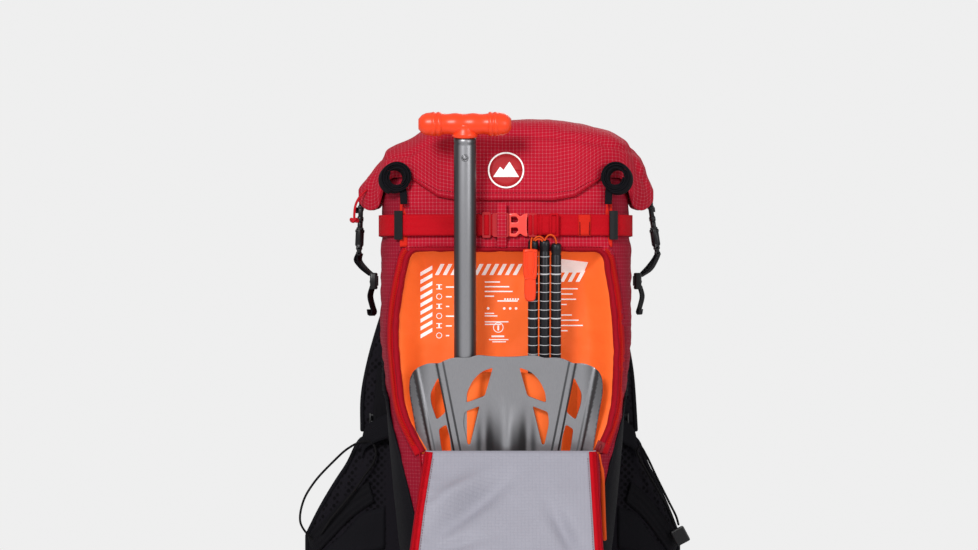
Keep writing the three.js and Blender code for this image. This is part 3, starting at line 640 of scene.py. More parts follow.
LOOK = {
    "ripstop": cloth("ripstop_front", "#BC0D2A", grid_lines=("#E58E9B", 0.16, 0.6), roughness=0.6),
    # The side panels' darker red is partly their own cloth and partly painted shade, as the sides turn away
    # from the light.
    "side": cloth("ripstop_side", "#99122B", grid_lines=("#D4707E", 0.1, 0.6), roughness=0.66),
    "hem": cloth("red_binding", "#A80E22", pitch=1.4, relief=0.12),
    "red_webbing": webbing("red_webbing", "#C50C1C"),
    "orange_webbing": webbing("orange_red_webbing", "#DE2A1C", rib=2.2),
    # The lining glows as painted light, standing in for light bouncing round inside the pocket.
    "lining": cloth("orange_lining", "#FF6E2E", roughness=0.5, pitch=0.7, relief=0.03, blotch=0.06,
                    specular=0.2, painted_glow=0.22),
    "grey": cloth("grey_lining", "#A2A1AC", roughness=0.55, pitch=0.8, relief=0.03, blotch=0.05,
                  specular=0.2, grid_lines=("#9392A0", 0.25, 0.5)),
    # The print glows as painted light so that it stays white in the pocket's shade.
    "print": plastic("white_print", "#F4F1EE", roughness=0.6, coat=0.0, painted_glow=0.25),
    "black": cloth("black_cloth", "#141318", space="Object", pitch=1.3, relief=0.1, blotch=0.2),
    "stretch": cloth("black_stretch", "#111015", space="Object", pitch=2.2, relief=0.16, blotch=0.2),
    "black_webbing": webbing("black_webbing", "#141317"),
    "mesh": spacer_mesh("black_mesh", "#131116", size=6.5),
    "black_plastic": plastic("black_plastic", "#101013", coat=0.05),
    "dull_red_plastic": plastic("dull_red_plastic", "#AE0F1B", roughness=0.55, coat=0.0),
    "dark_red_plastic": plastic("dark_red_plastic", "#7A0A14", roughness=0.5, coat=0.0),
    "red_plastic": plastic("coral_plastic", "#F2483E", roughness=0.32, coat=0.3),
    "orange_plastic": plastic("orange_plastic", "#FB4216", roughness=0.34, coat=0.2),
    "sheet_plastic": plastic("frame_sheet_plastic", "#3C3C42", roughness=0.5),
    # The blade and shaft metal carries painted edge shade.
    "shell": metal("blade_metal", "#97979B", roughness=0.36, metallic=0.6, painted_edge_shade=0.9),
    "dark_metal": metal("probe_metal", "#232327", roughness=0.34, metallic=0.55),
    "frame_metal": metal("frame_metal", "#B8BABD", roughness=0.35, metallic=0.9),
    "pale": plastic("pale_print", "#C9C9CC", roughness=0.55, coat=0.0),
    "thread": cloth("thread", "#6E0B1B", space="Object", pitch=0.6, relief=0.1),
    "black_thread": cloth("black_thread", "#3A393F", space="Object", pitch=0.6, relief=0.1),
    "black_cord": braid("black_cord", "#161416"),
    "red_cord": braid("red_cord", "#D01E2C"),
    "orange_cord": braid("orange_cord", "#FF5A1E"),
}

# ---------------------------------------------------------------- pieces


def piece(name, shape, look, body=None, replaces=(), thick=0.0, subdivide=0):
    """A new object from a shape, in a finish, riding on a body. thick makes a sheet solid, inwards."""
    mesh = bpy.data.meshes.new(name)
    mesh.from_pydata((shape.points * MM).tolist(), [], shape.faces)
    layer = mesh.uv_layers.new(name="UVMap")
    corner_points = np.empty(len(mesh.loops), np.int64)
    mesh.loops.foreach_get("vertex_index", corner_points)
    layer.data.foreach_set("uv", (shape.uv[corner_points] * MM).ravel())
    mesh.shade_smooth()
    mesh.materials.append(LOOK[look])
    made = bpy.data.objects.new(name, mesh)
    bpy.context.scene.collection.objects.link(made)
    if thick:
        modifier = made.modifiers.new("thickness", "SOLIDIFY")
        modifier.thickness = thick * MM
        modifier.offset = -1
    if subdivide:
        made.modifiers.new("smooth", "SUBSURF").levels = subdivide
        made.modifiers["smooth"].render_levels = subdivide
    if body:
        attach(made, body)
    if replaces:
        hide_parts(*([replaces] if isinstance(replaces, str) else replaces))
    return made


WELD_M = 0.00002            # a CAD node's corner points closer than this are one point


def add_bevel(made, width):
    modifier = made.modifiers.new("edges", "BEVEL")
    modifier.width = width * MM
    modifier.segments = 2
    modifier.limit_method = "ANGLE"
    modifier.angle_limit = math.radians(40)


def dress(node, look, bevel=0.0):
    """Gives a CAD node its finish and rounds its edges."""
    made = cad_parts[node]
    made.data.materials.clear()
    made.data.materials.append(LOOK[look])
    if bevel:
        weld = made.modifiers.new("weld", "WELD")
        weld.merge_threshold = WELD_M
        add_bevel(made, bevel)


def stitches(path, normal, pitch=3.4, length=2.2, across=0.55, height=0.35):
    """A row of stitches along a path, standing on the side that normal points to."""
    path = np.asarray(path, float)
    up = np.broadcast_to(np.asarray(normal, float), path.shape)
    fine = resampled(np.hstack([path, up]), pitch)
    path, up = fine[:, :3], fine[:, 3:]
    along = unit(np.gradient(path, axis=0))
    up = unit(up - along * (up * along).sum(axis=1)[:, None])
    side = np.cross(along, up)
    small = rounded_box((length, across, height), 0.2)
    return together(placed(small, p + n * height * 0.3, [a, s, n])
                    for p, a, s, n in zip(path, along, side, up))


# ---------------------------------------------------------------- camera, light and floor

CAMERA_DISTANCE_M = 4.5
FRONT_Y_M = -0.12           # the pocket's front, where the picture's scale is measured
PICTURE_WIDTH_M = 1.144     # what the picture spans there
CAMERA_X_M, CAMERA_Z_M = -0.020, 0.405


def add_camera():
    data = bpy.data.cameras.new("camera")
    data.sensor_width = 36
    data.lens = 36 * (CAMERA_DISTANCE_M + FRONT_Y_M) / PICTURE_WIDTH_M
    camera = bpy.data.objects.new("camera", data)
    camera.location = (CAMERA_X_M, -CAMERA_DISTANCE_M, CAMERA_Z_M)
    camera.rotation_euler = (math.pi / 2, 0, 0)
    bpy.context.scene.collection.objects.link(camera)
    bpy.context.scene.camera = camera


BACKDROP = 0.862            # the pale studio backdrop's brightness
AMBIENT_LIGHT = 0.46        # and how much of it lights the object
LIGHT_AIM_M = (0, 0, 0.3)
FLOOR_RADIUS = 950


def area_light(name, place, size, power):
    data = bpy.data.lights.new(name, "AREA")
    data.shape = "DISK"
    data.size = size
    data.energy = power
    light = bpy.data.objects.new(name, data)
    back = unit(np.array(place) - LIGHT_AIM_M)
    right = unit(np.cross([0, 0, 1], back))
    axes = np.column_stack([right, np.cross(back, right), back])
    light.matrix_world = Matrix(np.vstack([np.column_stack([axes, place]), [0, 0, 0, 1]]).tolist())
    bpy.context.scene.collection.objects.link(light)


def add_studio():
    world = bpy.data.worlds.new("studio")
    world.use_nodes = True
    tree = world.node_tree
    seen, strength = tree.nodes.new("ShaderNodeLightPath"), tree.nodes.new("ShaderNodeMapRange")
    tree.links.new(seen.outputs["Is Camera Ray"], strength.inputs["Value"])
    strength.inputs["To Min"].default_value = AMBIENT_LIGHT
    strength.inputs["To Max"].default_value = BACKDROP
    tree.nodes["Background"].inputs["Color"].default_value = (1, 1, 1, 1)
    tree.links.new(strength.outputs[0], tree.nodes["Background"].inputs["Strength"])
    bpy.context.scene.world = world
    bpy.context.scene.view_settings.view_transform = "Standard"
    area_light("key", (-1.0, -2.7, 1.7), 0.9, 62)
    area_light("fill", (1.9, -2.3, 0.9), 1.4, 20)
    area_light("rim", (0.6, 2.4, 2.0), 1.4, 14)
    mesh = bpy.data.meshes.new("floor")
    disc = lathe([(FLOOR_RADIUS, -8), (FLOOR_RADIUS, -0.4)], 96)
    mesh.from_pydata((disc.points * MM).tolist(), [], disc.faces)
    finish = Finish("floor_paper", 0.9, specular=0.1)
    mesh.materials.append(finish.done((0.80, 0.80, 0.80, 1)))
    floor = bpy.data.objects.new("floor", mesh)
    bpy.context.scene.collection.objects.link(floor)


# ---------------------------------------------------------------- free cords


def add_cord(name, route, diameter, body, look, nodes, **facts):
    path = smooth_path(route, 1.5)
    made = piece(name, tube(path, diameter / 2, 10), look, body, nodes)
    lengths(path)[-1] * MM


def knot(at, size):
    """A small overhand knot: a tight trefoil of cord."""
    t = full_turn(60)
    path = np.column_stack([np.sin(t) + 2 * np.sin(2 * t), np.cos(t) - 2 * np.cos(2 * t), -np.sin(3 * t)])
    path = np.array(at) + path * size / 6
    return tube(np.vstack([path, path[:1]]), size * 0.19, 8, round_ends=False)


def free_cords():
    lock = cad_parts["cord_lock_right"]
    dress("cord_lock_right", "black_plastic", 1.6)
    for side, route, more in (("left", ELASTIC_LEFT, {}), ("right", ELASTIC_RIGHT, {"with_pieces": [lock]})):
        add_cord(f"elastic_cord_loop_{side}", route, 2.8, f"hip_{side}", "black_cord", f"elastic_cord_{side}",
                 far_end="object", stiffness="medium", lay="loose", **more)
    ear_knot = piece("ear_cord_knot", knot(EAR_CORD[-1], 9), "red_cord", "roll_top")
    add_cord("ear_cord_red", EAR_CORD, 3, "roll_top", "red_cord", "ear_cord",
             far_end="knot", stiffness="limp", lay="hanging", with_pieces=[ear_knot])


# ---------------------------------------------------------------- the body's surface


def section(z):
    """Right half of the body's cross-section at one height: distance round it from the front, x and y."""
    half, front = table_at(z, BODY)
    angle = np.linspace(-np.pi / 2, np.pi / 2, 500)
    c, s = np.abs(np.cos(angle)), np.sin(angle)
    power = np.where(s < 0, FRONT_POWER, BACK_POWER)
    depth = np.where(s < 0, front, BACK_DEPTH)
    reach = (c**power + np.abs(s)**power) ** (-1 / power)
    x, y = half * reach * c, CENTRE_Y + depth * reach * s
    return lengths(np.column_stack([x, y])), x, y


def outward(points):
    """The body surface's unit normals at points on it."""
    z = points[..., 2]
    half, front = table_at(z, BODY)
    across, deep = points[..., 0] / half, points[..., 1] - CENTRE_Y
    power = np.where(deep < 0, FRONT_POWER, BACK_POWER)
    depth = np.where(deep < 0, front, BACK_DEPTH)
    sideways = signed_power(across, power - 1) / half
    return unit(stacked(sideways, signed_power(deep / depth, power - 1) / depth, 0))


def body_at(z, u, inflate=0.0):
    """Points on the body at heights z, at the distance u round it from the middle of the front."""
    z, u = np.broadcast_arrays(np.asarray(z, float), np.asarray(u, float))
    points = np.empty(z.shape + (3,))
    for height in np.unique(z):
        at = z == height
        arc, x, y = section(height)
        points[at] = np.column_stack([
            np.sign(u[at]) * np.interp(np.abs(u[at]), arc, x), np.interp(np.abs(u[at]), arc, y),
            np.full(at.sum(), height)])
    return points + outward(points) * np.asarray(inflate, float)[..., None]


def front_at(x, z, inflate=0.0):
    """Points on the body's front at x and z."""
    x, z = np.broadcast_arrays(np.asarray(x, float), np.asarray(z, float))
    half, front = table_at(z, BODY)
    share = np.clip(np.abs(x) / half, 0, 0.999)
    y = CENTRE_Y - front * (1 - share**FRONT_POWER) ** (1 / FRONT_POWER)
    points = stacked(x, y, z)
    return points + outward(points) * np.asarray(inflate, float)[..., None]


def around_from_x(z, x):
    """Distance round the body from the middle of its front to x, at one height."""
    arc, xs, ys = section(z)
    front = ys < CENTRE_Y
    return math.copysign(np.interp(abs(x), xs[front], arc[front]), x)


def around_from_y(z, y):
    """Distance round the body from the middle of its front to the side point at y."""
    arc, _, ys = section(z)
    return np.interp(y, ys, arc)


def outline_band(line, low, high, low_out, high_out, columns):
    """A band on the body's front beside a line in x and z, from one offset to another."""
    normal = outward_2d(line)
    share = np.linspace(0, 1, columns)
    offset = low + (high - low) * share
    flat = line[:, None] + normal[:, None] * offset[:, None]
    lift = np.broadcast_to(low_out + (high_out - low_out) * share, flat.shape[:2])
    points = front_at(flat[..., 0], flat[..., 1], lift)
    along = lengths(line)
    uv = stacked(along[:, None], offset)
    return grid(points, uv)


def kept(shape, keep):
    """The faces of a shape that keep says, with the points that they use."""
    faces = np.array(shape.faces)[keep]
    used, index = np.unique(faces, return_inverse=True)
    return Shape(shape.points[used], index.reshape(faces.shape).tolist(), shape.uv[used])


def mouth_line(step=2.5):
    """The mouth's edge in x and z, open along the fold."""
    return rounded(MOUTH, step, closed=False)


def mouth_outline(grow, grow_top):
    """The mouth grown outwards, by less along its top edge, closed along the fold."""
    line = mouth_line()
    amount = grow + (grow_top - grow) * ease(line[:, 1], MOUTH_TOP - 8, MOUTH_TOP - 1)
    return line + outward_2d(line) * amount[:, None]


def mouth_sides():
    """The mouth's two long sides, which carry the zip, as lines in x and z."""
    line = mouth_line()
    low = line[:, 1] < MOUTH_TOP - 3
    return [line[low & (line[:, 0] > 0)], line[low & (line[:, 0] < 0)]]


# Where the front panel meets the side panels: height and x.
SEAM = np.array([
    [4, 84], [110, 92], [198, 101], [252, 126], [345, 133], [MOUTH_TOP, 123], [RIM_Z, 119],
], float)


def crumple(points, u):
    """How far the filled bag's cloth stands out, in soft wrinkles."""
    z = points[..., 2]
    soft = 2.0 * noise(points, 62, 1) + 1.2 * noise(points * [1, 1, 2.0], 28, 2)
    small = 0.35 * noise(points * [1, 1, 2.6], 12, 3)
    above = 2.2 * hump(z, 497, 13)
    below = 1.2 * hump(z, 438, 9)
    cinch = -1.1 * hump(z, STRAP_Z, 10)
    side = ease(np.abs(u), 110, 190)
    pulls = 1.1 * side * noise(stacked(np.abs(u) * 0.35, z * 2.2, 0), 17, 4)
    edge = ease(z, BASE_TOP, 24) * ease(RIM_Z - z, -1, 10)
    return (soft + small + pulls + (above + below) * (0.4 + 0.6 * side) + cinch) * edge


def bag_fabric():
    """The bag's skin, cut into the front panel and the rest, with a hole for the mouth, and the rim's hem."""
    heights = np.linspace(BODY[0, 0], RIM_Z, 206)
    half_way_round = 188
    share = np.arange(-half_way_round, half_way_round) / half_way_round
    u = np.array([share * section(z)[0][-1] for z in heights])
    z = np.broadcast_to(heights[:, None], u.shape)
    points = body_at(z, u)
    back = ease(points[..., 1], 60, 86)
    points = points + outward(points) * (crumple(points, u) * (1 - back))[..., None]
    skin = grid(points, stacked(u, z), closed=True)
    middle = skin.points[np.array(skin.faces)].mean(axis=1)
    front = (middle[:, 1] < CENTRE_Y) & (np.abs(middle[:, 0]) < np.interp(middle[:, 2], *SEAM.T))
    mouth = (middle[:, 1] < CENTRE_Y) & inside(middle[:, [0, 2]], mouth_outline(6.5, 1.5))
    piece("bag_front_panel", kept(skin, front & ~mouth), "ripstop", "pack", "front_pocket", thick=0.9)
    piece("bag_side_and_back_panels", kept(skin, ~front & ~mouth), "side", "pack", "main_bag", thick=0.9)
    rim_u = np.linspace(-1, 1, 240) * section(RIM_Z)[0][-1]
    rim = body_at(RIM_Z, rim_u)
    turned = [rim - outward(rim) * inwards + [0, 0, rise]
              for inwards, rise in ((0, 0), (0.4, 0.5), (1.6, 0.2), (2.2, -18))]
    hem = grid(np.stack(turned), stacked(rim_u, np.array([0, 1, 2, 20])[:, None]))
    piece("mouth_rim_hem", hem, "hem", "pack", thick=0.6)


def panel_seams():
    """Corded seams where the front panel meets the sides, below and above the mouth."""
    seams = []
    for _, sign in SIDES:
        for low, high in ((8, 196), (440, 518)):
            z = np.linspace(low, high, 60)
            x = sign * np.interp(z, *SEAM.T)
            seams.append(tube(front_at(x, z, 0.7), 1.1, 8))
    piece("panel_seams", together(seams), "hem", "pack")


def teeth(centres, along, up, size):
    """Small blocks at centres, each lined up with the path and its outward side."""
    small = rounded_box(size, 0.3)
    side = np.cross(up, along)
    return together(placed(small, c, [a, s, n]) for c, a, s, n in zip(centres, along, side, up))


def teeth_rows(line3d, normal):
    """Two rows of zip coil along a line, half a pitch apart."""
    rows = []
    gap, pitch = 1.7, 2.1
    for sign in (-1, 1):
        path = resampled(line3d, pitch)
        up = unit(np.stack([np.interp(lengths(path), lengths(line3d), c) for c in normal.T], axis=1))
        along = unit(np.gradient(path, axis=0))
        side = np.cross(up, along)
        rows.append(teeth(path + side * sign * gap / 2 + along * (sign * pitch / 4) + up * 0.5, along, up,
                          (1.2, 2.0, 1.2)))
    return together(rows)


def mouth_flange():
    """The cloth that turns in round the mouth, gathered a little."""
    line = mouth_line()
    normal = outward_2d(line)
    flange_steps = ((4.0, 0.8, 0), (2.0, 1.9, 0), (0.6, 1.6, 0.5), (-0.6, 0.5, 3), (-1.2, 0, 8),
                    (-1.6, 0, 14), (-1.8, 0, 22))
    rows = []
    for offset, lift, depth in flange_steps:
        at = line + normal * offset
        rows.append(front_at(at[:, 0], at[:, 1], lift) + [0, depth, 0])
    points = np.stack(rows, axis=1)
    ripple = 0.7 * noise(points, 15, 7) + 0.5 * noise(points, 7, 8)
    inward = np.column_stack([normal[:, 0], np.zeros(len(line)), normal[:, 1]])
    points = points + inward[:, None] * ripple[..., None]
    along = lengths(line)
    uv = stacked(along[:, None], np.linspace(0, 26, points.shape[1]))
    piece("mouth_flange", grid(points, uv), "hem", "pack", thick=0.6)


def mouth_top_hem():
    """The rolled hem over the mouth's top edge, and its stitching."""
    x = np.linspace(-112, 112, 110)
    hem_steps = ((-0.5, 0.6), (-0.2, 1.9), (1.9, 2.2), (4.3, 1.9), (4.7, 0.8))
    hem = np.stack([front_at(x, MOUTH_TOP + rise, lift) for rise, lift in hem_steps])
    hem = hem + [0, 0, 1] * (0.5 * noise(hem, 13, 9))[..., None]
    piece("mouth_top_hem", grid(hem, stacked(hem[..., 0], hem[..., 2])), "hem", "pack")
    path = front_at(x, MOUTH_TOP + 3.2, 2.6)
    piece("mouth_top_stitching", stitches(path, outward(path)), "thread", "pack")


def pocket_mouth():
    """The mouth's zip tape, flange, coil and stitching, and its top hem."""
    sides = mouth_sides()
    tape = together(outline_band(line, 2.2, 11.0, 1.5, 1.2, 6) for line in sides)
    piece("mouth_zip_tape", tape, "red_webbing", "pack", "zip_tape_pocket", thick=0.7)
    mouth_flange()
    coils, seams = [], []
    for line in sides:
        normal = outward_2d(line)
        coil = line + normal * 6.6
        coil_line = front_at(coil[:, 0], coil[:, 1], 1.7)
        keep = coil[:, 1] > 206
        coils.append(teeth_rows(coil_line[keep], outward(coil_line[keep])))
        for offset in (3.0, 12.0):
            edge = line + normal * offset
            path = front_at(edge[:, 0], edge[:, 1], 1.6)
            seams.append(stitches(path, outward(path)))
    piece("mouth_zip_coil", together(coils), "orange_webbing", "pack")
    piece("mouth_stitching", together(seams), "thread", "pack")
    mouth_top_hem()


# ---------------------------------------------------------------- lining of the front pocket


def lining_outline():
    """The pocket's back as cut: a little beyond the mouth, and down inside the pocket."""
    line = mouth_line(4)
    grown = line + outward_2d(line) * 2.4
    low = np.array([[-98, 150], [-92, 100], [-84, 52], [-60, 34], [60, 34], [84, 52], [92, 100], [98, 150]],
                   float)
    return np.vstack([grown, low])


def lining_surface(x, z):
    """The pocket's padded back, which curves forward to the mouth's edges."""
    flat = np.column_stack([np.ravel(x), np.ravel(z)])
    outline = resampled(lining_outline(), 3)
    edge = distance_to(flat, outline).reshape(np.shape(x))
    front = front_at(x, z)[..., 1]
    rim = np.where(z > 190, front + 6, -66)
    wall = POCKET_WALL_Y - 12 * hump(x, 0, 90) * ease(z, 150, 330)
    y = rim + (wall - rim) * ease(edge, 0, 34) ** 0.7
    place = stacked(x, 0, z)
    corner = hump(np.abs(x), 105, 26)
    soft = 2.6 * noise(place, 46, 11) + 1.6 * noise(place * [1.3, 1, 0.6], 22, 12) * (0.4 + corner)
    fine = 0.5 * noise(place, 9, 13)
    top = 2.5 * hump(z, 421, 7) * noise(place * [1, 1, 0.3], 15, 14)
    return stacked(x, y + (soft + fine + top) * ease(edge, 1, 14), z)


def pocket_lining():
    sheet = plate(lining_outline(), [], lining_surface, 4.0)
    made = piece("pocket_lining_padded", sheet, "lining", "pack", "pocket_lining", thick=2.0)


def printed(patches):
    """Flat marks on the lining, each a four-cornered patch in x and z."""
    shapes = []
    for patch in patches:
        a, b, c, d = (np.array(p, float) for p in patch)
        rows, columns = (max(2, int(np.linalg.norm(q - p) / 3) + 2) for p, q in ((a, d), (a, b)))
        s, t = np.meshgrid(np.linspace(0, 1, columns), np.linspace(0, 1, rows))
        s, t = s[..., None], t[..., None]
        flat = (a * (1 - s) + b * s) * (1 - t) + (d * (1 - s) + c * s) * t
        points = lining_surface(flat[..., 0], flat[..., 1])
        points[..., 1] -= PRINT_LIFT
        shapes.append(grid(points, flat))
    return together(shapes)


def bar(x0, x1, z, height):
    return [[x0, z], [x1, z], [x1, z + height], [x0, z + height]]


def ring_patches(x, z, radius, width, steps):
    angles = np.linspace(0, 2 * np.pi, steps + 1)
    out = [[x + radius * math.cos(a), z + radius * math.sin(a)] for a in angles]
    inner = [[x + (radius - width) * math.cos(a), z + (radius - width) * math.sin(a)] for a in angles]
    return [[out[i], out[i + 1], inner[i + 1], inner[i]] for i in range(steps)]


def lining_print():
    """Plain marks only: a striped border, rows of bars and dots, and small rings."""
    marks = []
    stripe, pitch, band = 4.6, 9.2, 13
    for start, end, base in ((-84, 12, 405), (64, 86, 397)):
        for x in np.arange(start, end, pitch):
            marks.append([[x, base], [x + stripe, base], [x + stripe + 7, base + band], [x + 7, base + band]])
    for z in np.arange(330, 408, pitch):
        marks.append([[-101, z], [-87, z + 8], [-87, z + 8 + stripe], [-101, z + stripe]])
    for i in range(6):
        z = 391 - 11.5 * i
        if i % 2:
            marks += ring_patches(-79, z, 3.6, 0.8, 10)
        else:
            marks += [bar(-82.4, -75.6, z - 3, 1), bar(-82.4, -75.6, z + 2, 1), bar(-80, -78, z - 2, 4)]
        marks.append(bar(-71, -71 + 10 - 3 * (i % 3), z - 1, 1.5))
    for row, (x0, x1) in enumerate(((-25, -7), (-25, 4), (-25, 8), (-25, -14), (-10, 14))):
        marks.append(bar(x0, x1, 396 - 5.6 * row, 1.5))
    for x in np.arange(-2, 14, 3.1):
        marks.append(bar(x, x + 1.9, 375.5, 1.9))
    for x in (-21, -2, 5, 12):
        marks += ring_patches(x, 365.5, 1.6, 1.6, 8)
    for i, (x0, x1) in enumerate(((-25, -14), (-25, -10), (-25, 3), (-25, -6))):
        marks.append(bar(x0, x1, 359 - 3 * i - 4 * (i > 1), 1.3))
    marks += ring_patches(-9, 343, 6.2, 0.9, 18)
    marks += [bar(-10, -8, 339.5, 6), bar(-17, -2, 331.5, 2), bar(-20, 3, 328, 1.2), bar(-16, 0, 325.4, 1.2)]
    label = [[64, 408], [92, 408], [97, 420], [64, 424]]
    marks.append(label)
    for i, width in enumerate((20, 14, 18, 7, 0, 13, 21, 26, 8)):
        if width:
            marks.append(bar(65, 65 + width, 388 - 6.2 * i, 1.4))
    piece("lining_print", printed(marks), "print", "pack")


# ---------------------------------------------------------------- flap


LEAN_DOWN = np.array([0, -math.sin(FLAP_LEAN), -math.cos(FLAP_LEAN)])
LEAN_OUT = np.array([0, -math.cos(FLAP_LEAN), math.sin(FLAP_LEAN)])


def fold_mark(x, z, at, direction, length, width, height):
    """A soft straight fold in a sheet: its height over the points x, z."""
    along = unit(np.array(direction, float))
    dx, dz = x - at[0], z - at[1]
    run, off = dx * along[0] + dz * along[1], -dx * along[1] + dz * along[0]
    return height * hump(off, 0, width) * hump(run, 0, length)


# The flap's folds, and the puckers down its left edge: middle, direction, length, width and height.
FLAP_FOLDS = [
    ((-42, -78), (1, 0.95), 62, 12, -13), ((-56, -54), (1, 0.8), 48, 10, 8),
    ((66, -108), (0.45, -1), 36, 9, -10), ((-64, -128), (1, 0.25), 34, 8, -7),
    ((20, -170), (1, -0.3), 60, 15, -5),
    *[((-92 - 1.4 * i, -22 - 17 * i), (1, -0.25), 14, 2.6, 2.6) for i in range(7)],
]


def flap_surface(lift):
    """The hanging flap, at lift in front of its middle. z is minus the distance from the fold."""
    def surface(x, z):
        h = -z
        place = stacked(x, 0, z)
        drape = 3.2 * noise(place, 75, 21) + 0.7 * noise(place, 26, 22)
        for fold in FLAP_FOLDS:
            drape = drape + fold_mark(x, z, *fold)
        drape = drape * ease(h, 6, 60) * (0.35 + 0.65 * ease(112 - np.abs(x), 2, 40))
        down = (np.array([0, FOLD_Y, FOLD_Z]) + h[:, None] * LEAN_DOWN + (lift + drape)[:, None] * LEAN_OUT)
        down[:, 0] = x
        bend = ease(h, 3, -3)
        top = stacked(x, FOLD_Y + 4.5 - lift + 0 * x, FOLD_Z - 1.6 + lift * 0.4 + np.minimum(0, h + 6))
        top[:, 2] += 1.2 * hump(h, 0, 4)
        return down * (1 - bend)[:, None] + top * bend[:, None]
    return surface


def flap_outline():
    """The flap as cut, with the strip that goes up behind the fold."""
    return rounded([[104, FLAP_TURN_UP, 0], *FLAP, [-93, FLAP_TURN_UP, 0]], 4)


def front_flap():
    """The hanging flap: lining, outer shell, zip tape and coil, bound edge and stitching."""
    outline = flap_outline()
    made = {}
    for name, look, lift in (("flap_lining", "grey", 1.2), ("flap_outer_shell", "ripstop", -1.2)):
        shape = plate(outline, [], flap_surface(lift), 4.5)
        made[name] = piece(name, shape, look, None, "front_flap" if lift > 0 else (), thick=0.7)
        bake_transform(made[name])
    sides = rounded(FLAP, 3, closed=False)
    normal = -outward_2d(sides)
    surface = flap_surface(2.2)

    def band(first, last, columns=5):
        offsets = np.linspace(first, last, columns)
        flat = sides[:, None] + normal[:, None] * offsets[:, None]
        points = surface(flat[..., 0].ravel(), flat[..., 1].ravel()).reshape(*flat.shape[:2], 3)
        along = lengths(sides)
        return grid(points, stacked(along[:, None], offsets))

    tape = piece("flap_zip_tape", band(-8.5, -0.4), "red_webbing", None, "zip_tape_flap", thick=0.7)
    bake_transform(tape)
    coil = sides + normal * -3.0
    coil_line = flap_surface(2.6)(coil[:, 0], coil[:, 1])
    coil_normal = np.broadcast_to(LEAN_OUT, coil_line.shape)
    keep = -coil[:, 1] > 6
    piece("flap_zip_coil", teeth_rows(coil_line[keep], coil_normal[keep]), "red_webbing", "front_flap")
    rim = piece("flap_edge_binding", tube(flap_surface(0)(sides[:, 0], sides[:, 1]), 1.7, 8), "hem")
    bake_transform(rim)
    stitch = sides + normal * -10.2
    path = flap_surface(1.3)(stitch[:, 0], stitch[:, 1])
    keep = -stitch[:, 1] > 12
    piece("flap_stitching", stitches(path[keep], LEAN_OUT), "thread", "front_flap")


# ---------------------------------------------------------------- roll-top closure

# Roll stations: x, front y, back y, bottom, top; and the lower edge of its front lip by x.
ROLL = np.array([
    [0, -104, 84, 521, 590], [70, -104, 84, 521, 589], [112, -98, 80, 521, 580], [134, -84, 66, 521, 571],
    [143, -76, 58, 512, 565], [149, -70, 52, 491, 558], [157, -58, 42, 484, 549], [165, -48, 34, 484, 535],
    [171, -40, 28, 488, 520], [176, -32, 20, 494, 508],
], float)
LIP = np.array([[0, 492.5], [55, 492.5], [80, 497], [105, 514], [114, 520], [180, 520]], float)


STIFFENER_ROW = 46          # the point of each of the roll's rings that its stiffener runs over


def roll_ring(x):
    """The roll's section at x as y and height: lip and front, over the top, down the back and under."""
    reach = abs(x)
    front, back, low, high = table_at(reach, ROLL)
    rise = high - low
    cover = 1 - ease(reach, 104, 118)
    lip = min(np.interp(reach, *LIP.T), low - 1.5) if reach < 140 else low - 1.5
    t = np.linspace(0, 1, 10)
    z = lip + (low + 0.16 * rise - lip) * t
    body_front = front_at(min(reach, 136), np.minimum(z, 519))[..., 1]
    upper = ease(t, 0.7, 1)
    y = cover * ((body_front - 3.4) * (1 - upper) + front * upper) + (1 - cover) * (front + 4 * (1 - t))
    skirt = np.column_stack([y, z])
    angle = np.linspace(np.pi, 0, 60)
    c, s = np.cos(angle), np.sin(angle)
    dome = np.column_stack([(front + back) / 2 + (back - front) / 2 * signed_power(c, 0.6),
                            low + rise * (0.16 + 0.84 * np.abs(s)**0.8)])[1:-1]
    tail = np.array([[back, low + 0.16 * rise], [back - 0.5, low + 0.07 * rise], [back - 4, low]])
    under = np.column_stack([np.linspace(back - 10, front + 8, 7), np.full(7, low)])
    inner = np.column_stack([y[:5] + 1.9, z[:5]])[::-1]
    return np.vstack([skirt, dome, tail, under, inner])


def roll_points():
    xs = np.concatenate([np.linspace(-176, -140, 26), np.linspace(-138, 138, 120), np.linspace(140, 176, 26)])
    rings = np.array([roll_ring(x) for x in xs])
    points = np.concatenate([np.broadcast_to(xs[:, None, None], (*rings.shape[:2], 1)), rings], axis=2)
    along, round_it = np.gradient(points, axis=0), np.gradient(points, axis=1)
    normal = unit(np.cross(round_it, along))
    middle = points[:, :70].mean(axis=1)
    if ((points[:, 40] - middle) * normal[:, 40]).sum() < 0:
        normal = -normal
    ear = ease(np.abs(points[..., 0]), 118, 160)
    z = points[..., 2]
    crease = -2.6 * np.exp(-((z - 571 + 0.0009 * points[..., 0]**2) / 3.2) ** 2) * (points[..., 1] < 0)
    crease = crease - 2.2 * hump(points[..., 1], 26, 3.0) * (z > 540)
    crumpled = 2.6 * noise(points, 62, 31) + 1.2 * noise(points * [1, 1, 1.8], 24, 32)
    crumpled = crumpled + 0.4 * noise(points, 10, 33)
    gathers = ear * (1.9 * noise(stacked(points[..., 0] * 0.5, points[..., 1], z * 0.6), 11, 34))
    flat_front = 1 - 0.7 * (1 - ease(np.abs(points[..., 0]), 24, 40)) * (points[..., 1] < -60) * (z < 556)
    lift = (crumpled * flat_front + gathers + crease * (1 - 0.5 * ear))
    shown = np.zeros(points.shape[1])
    shown[1:70] = 1
    shown[1:10] = np.linspace(0.15, 0.8, 9)
    ends = ease(np.abs(points[..., 0]), 176, 165)
    points = points + normal * (lift * shown * (0.3 + 0.7 * ends))[..., None]
    points[..., 2] -= 12 * ease(-points[..., 0], 70, 122) * ease(points[..., 2], 530, 560)
    beyond = np.maximum(0, -143 - points[..., 0])
    points[..., 0] += beyond * (0.5 * ease(points[..., 2], 508, 540))
    return xs, points


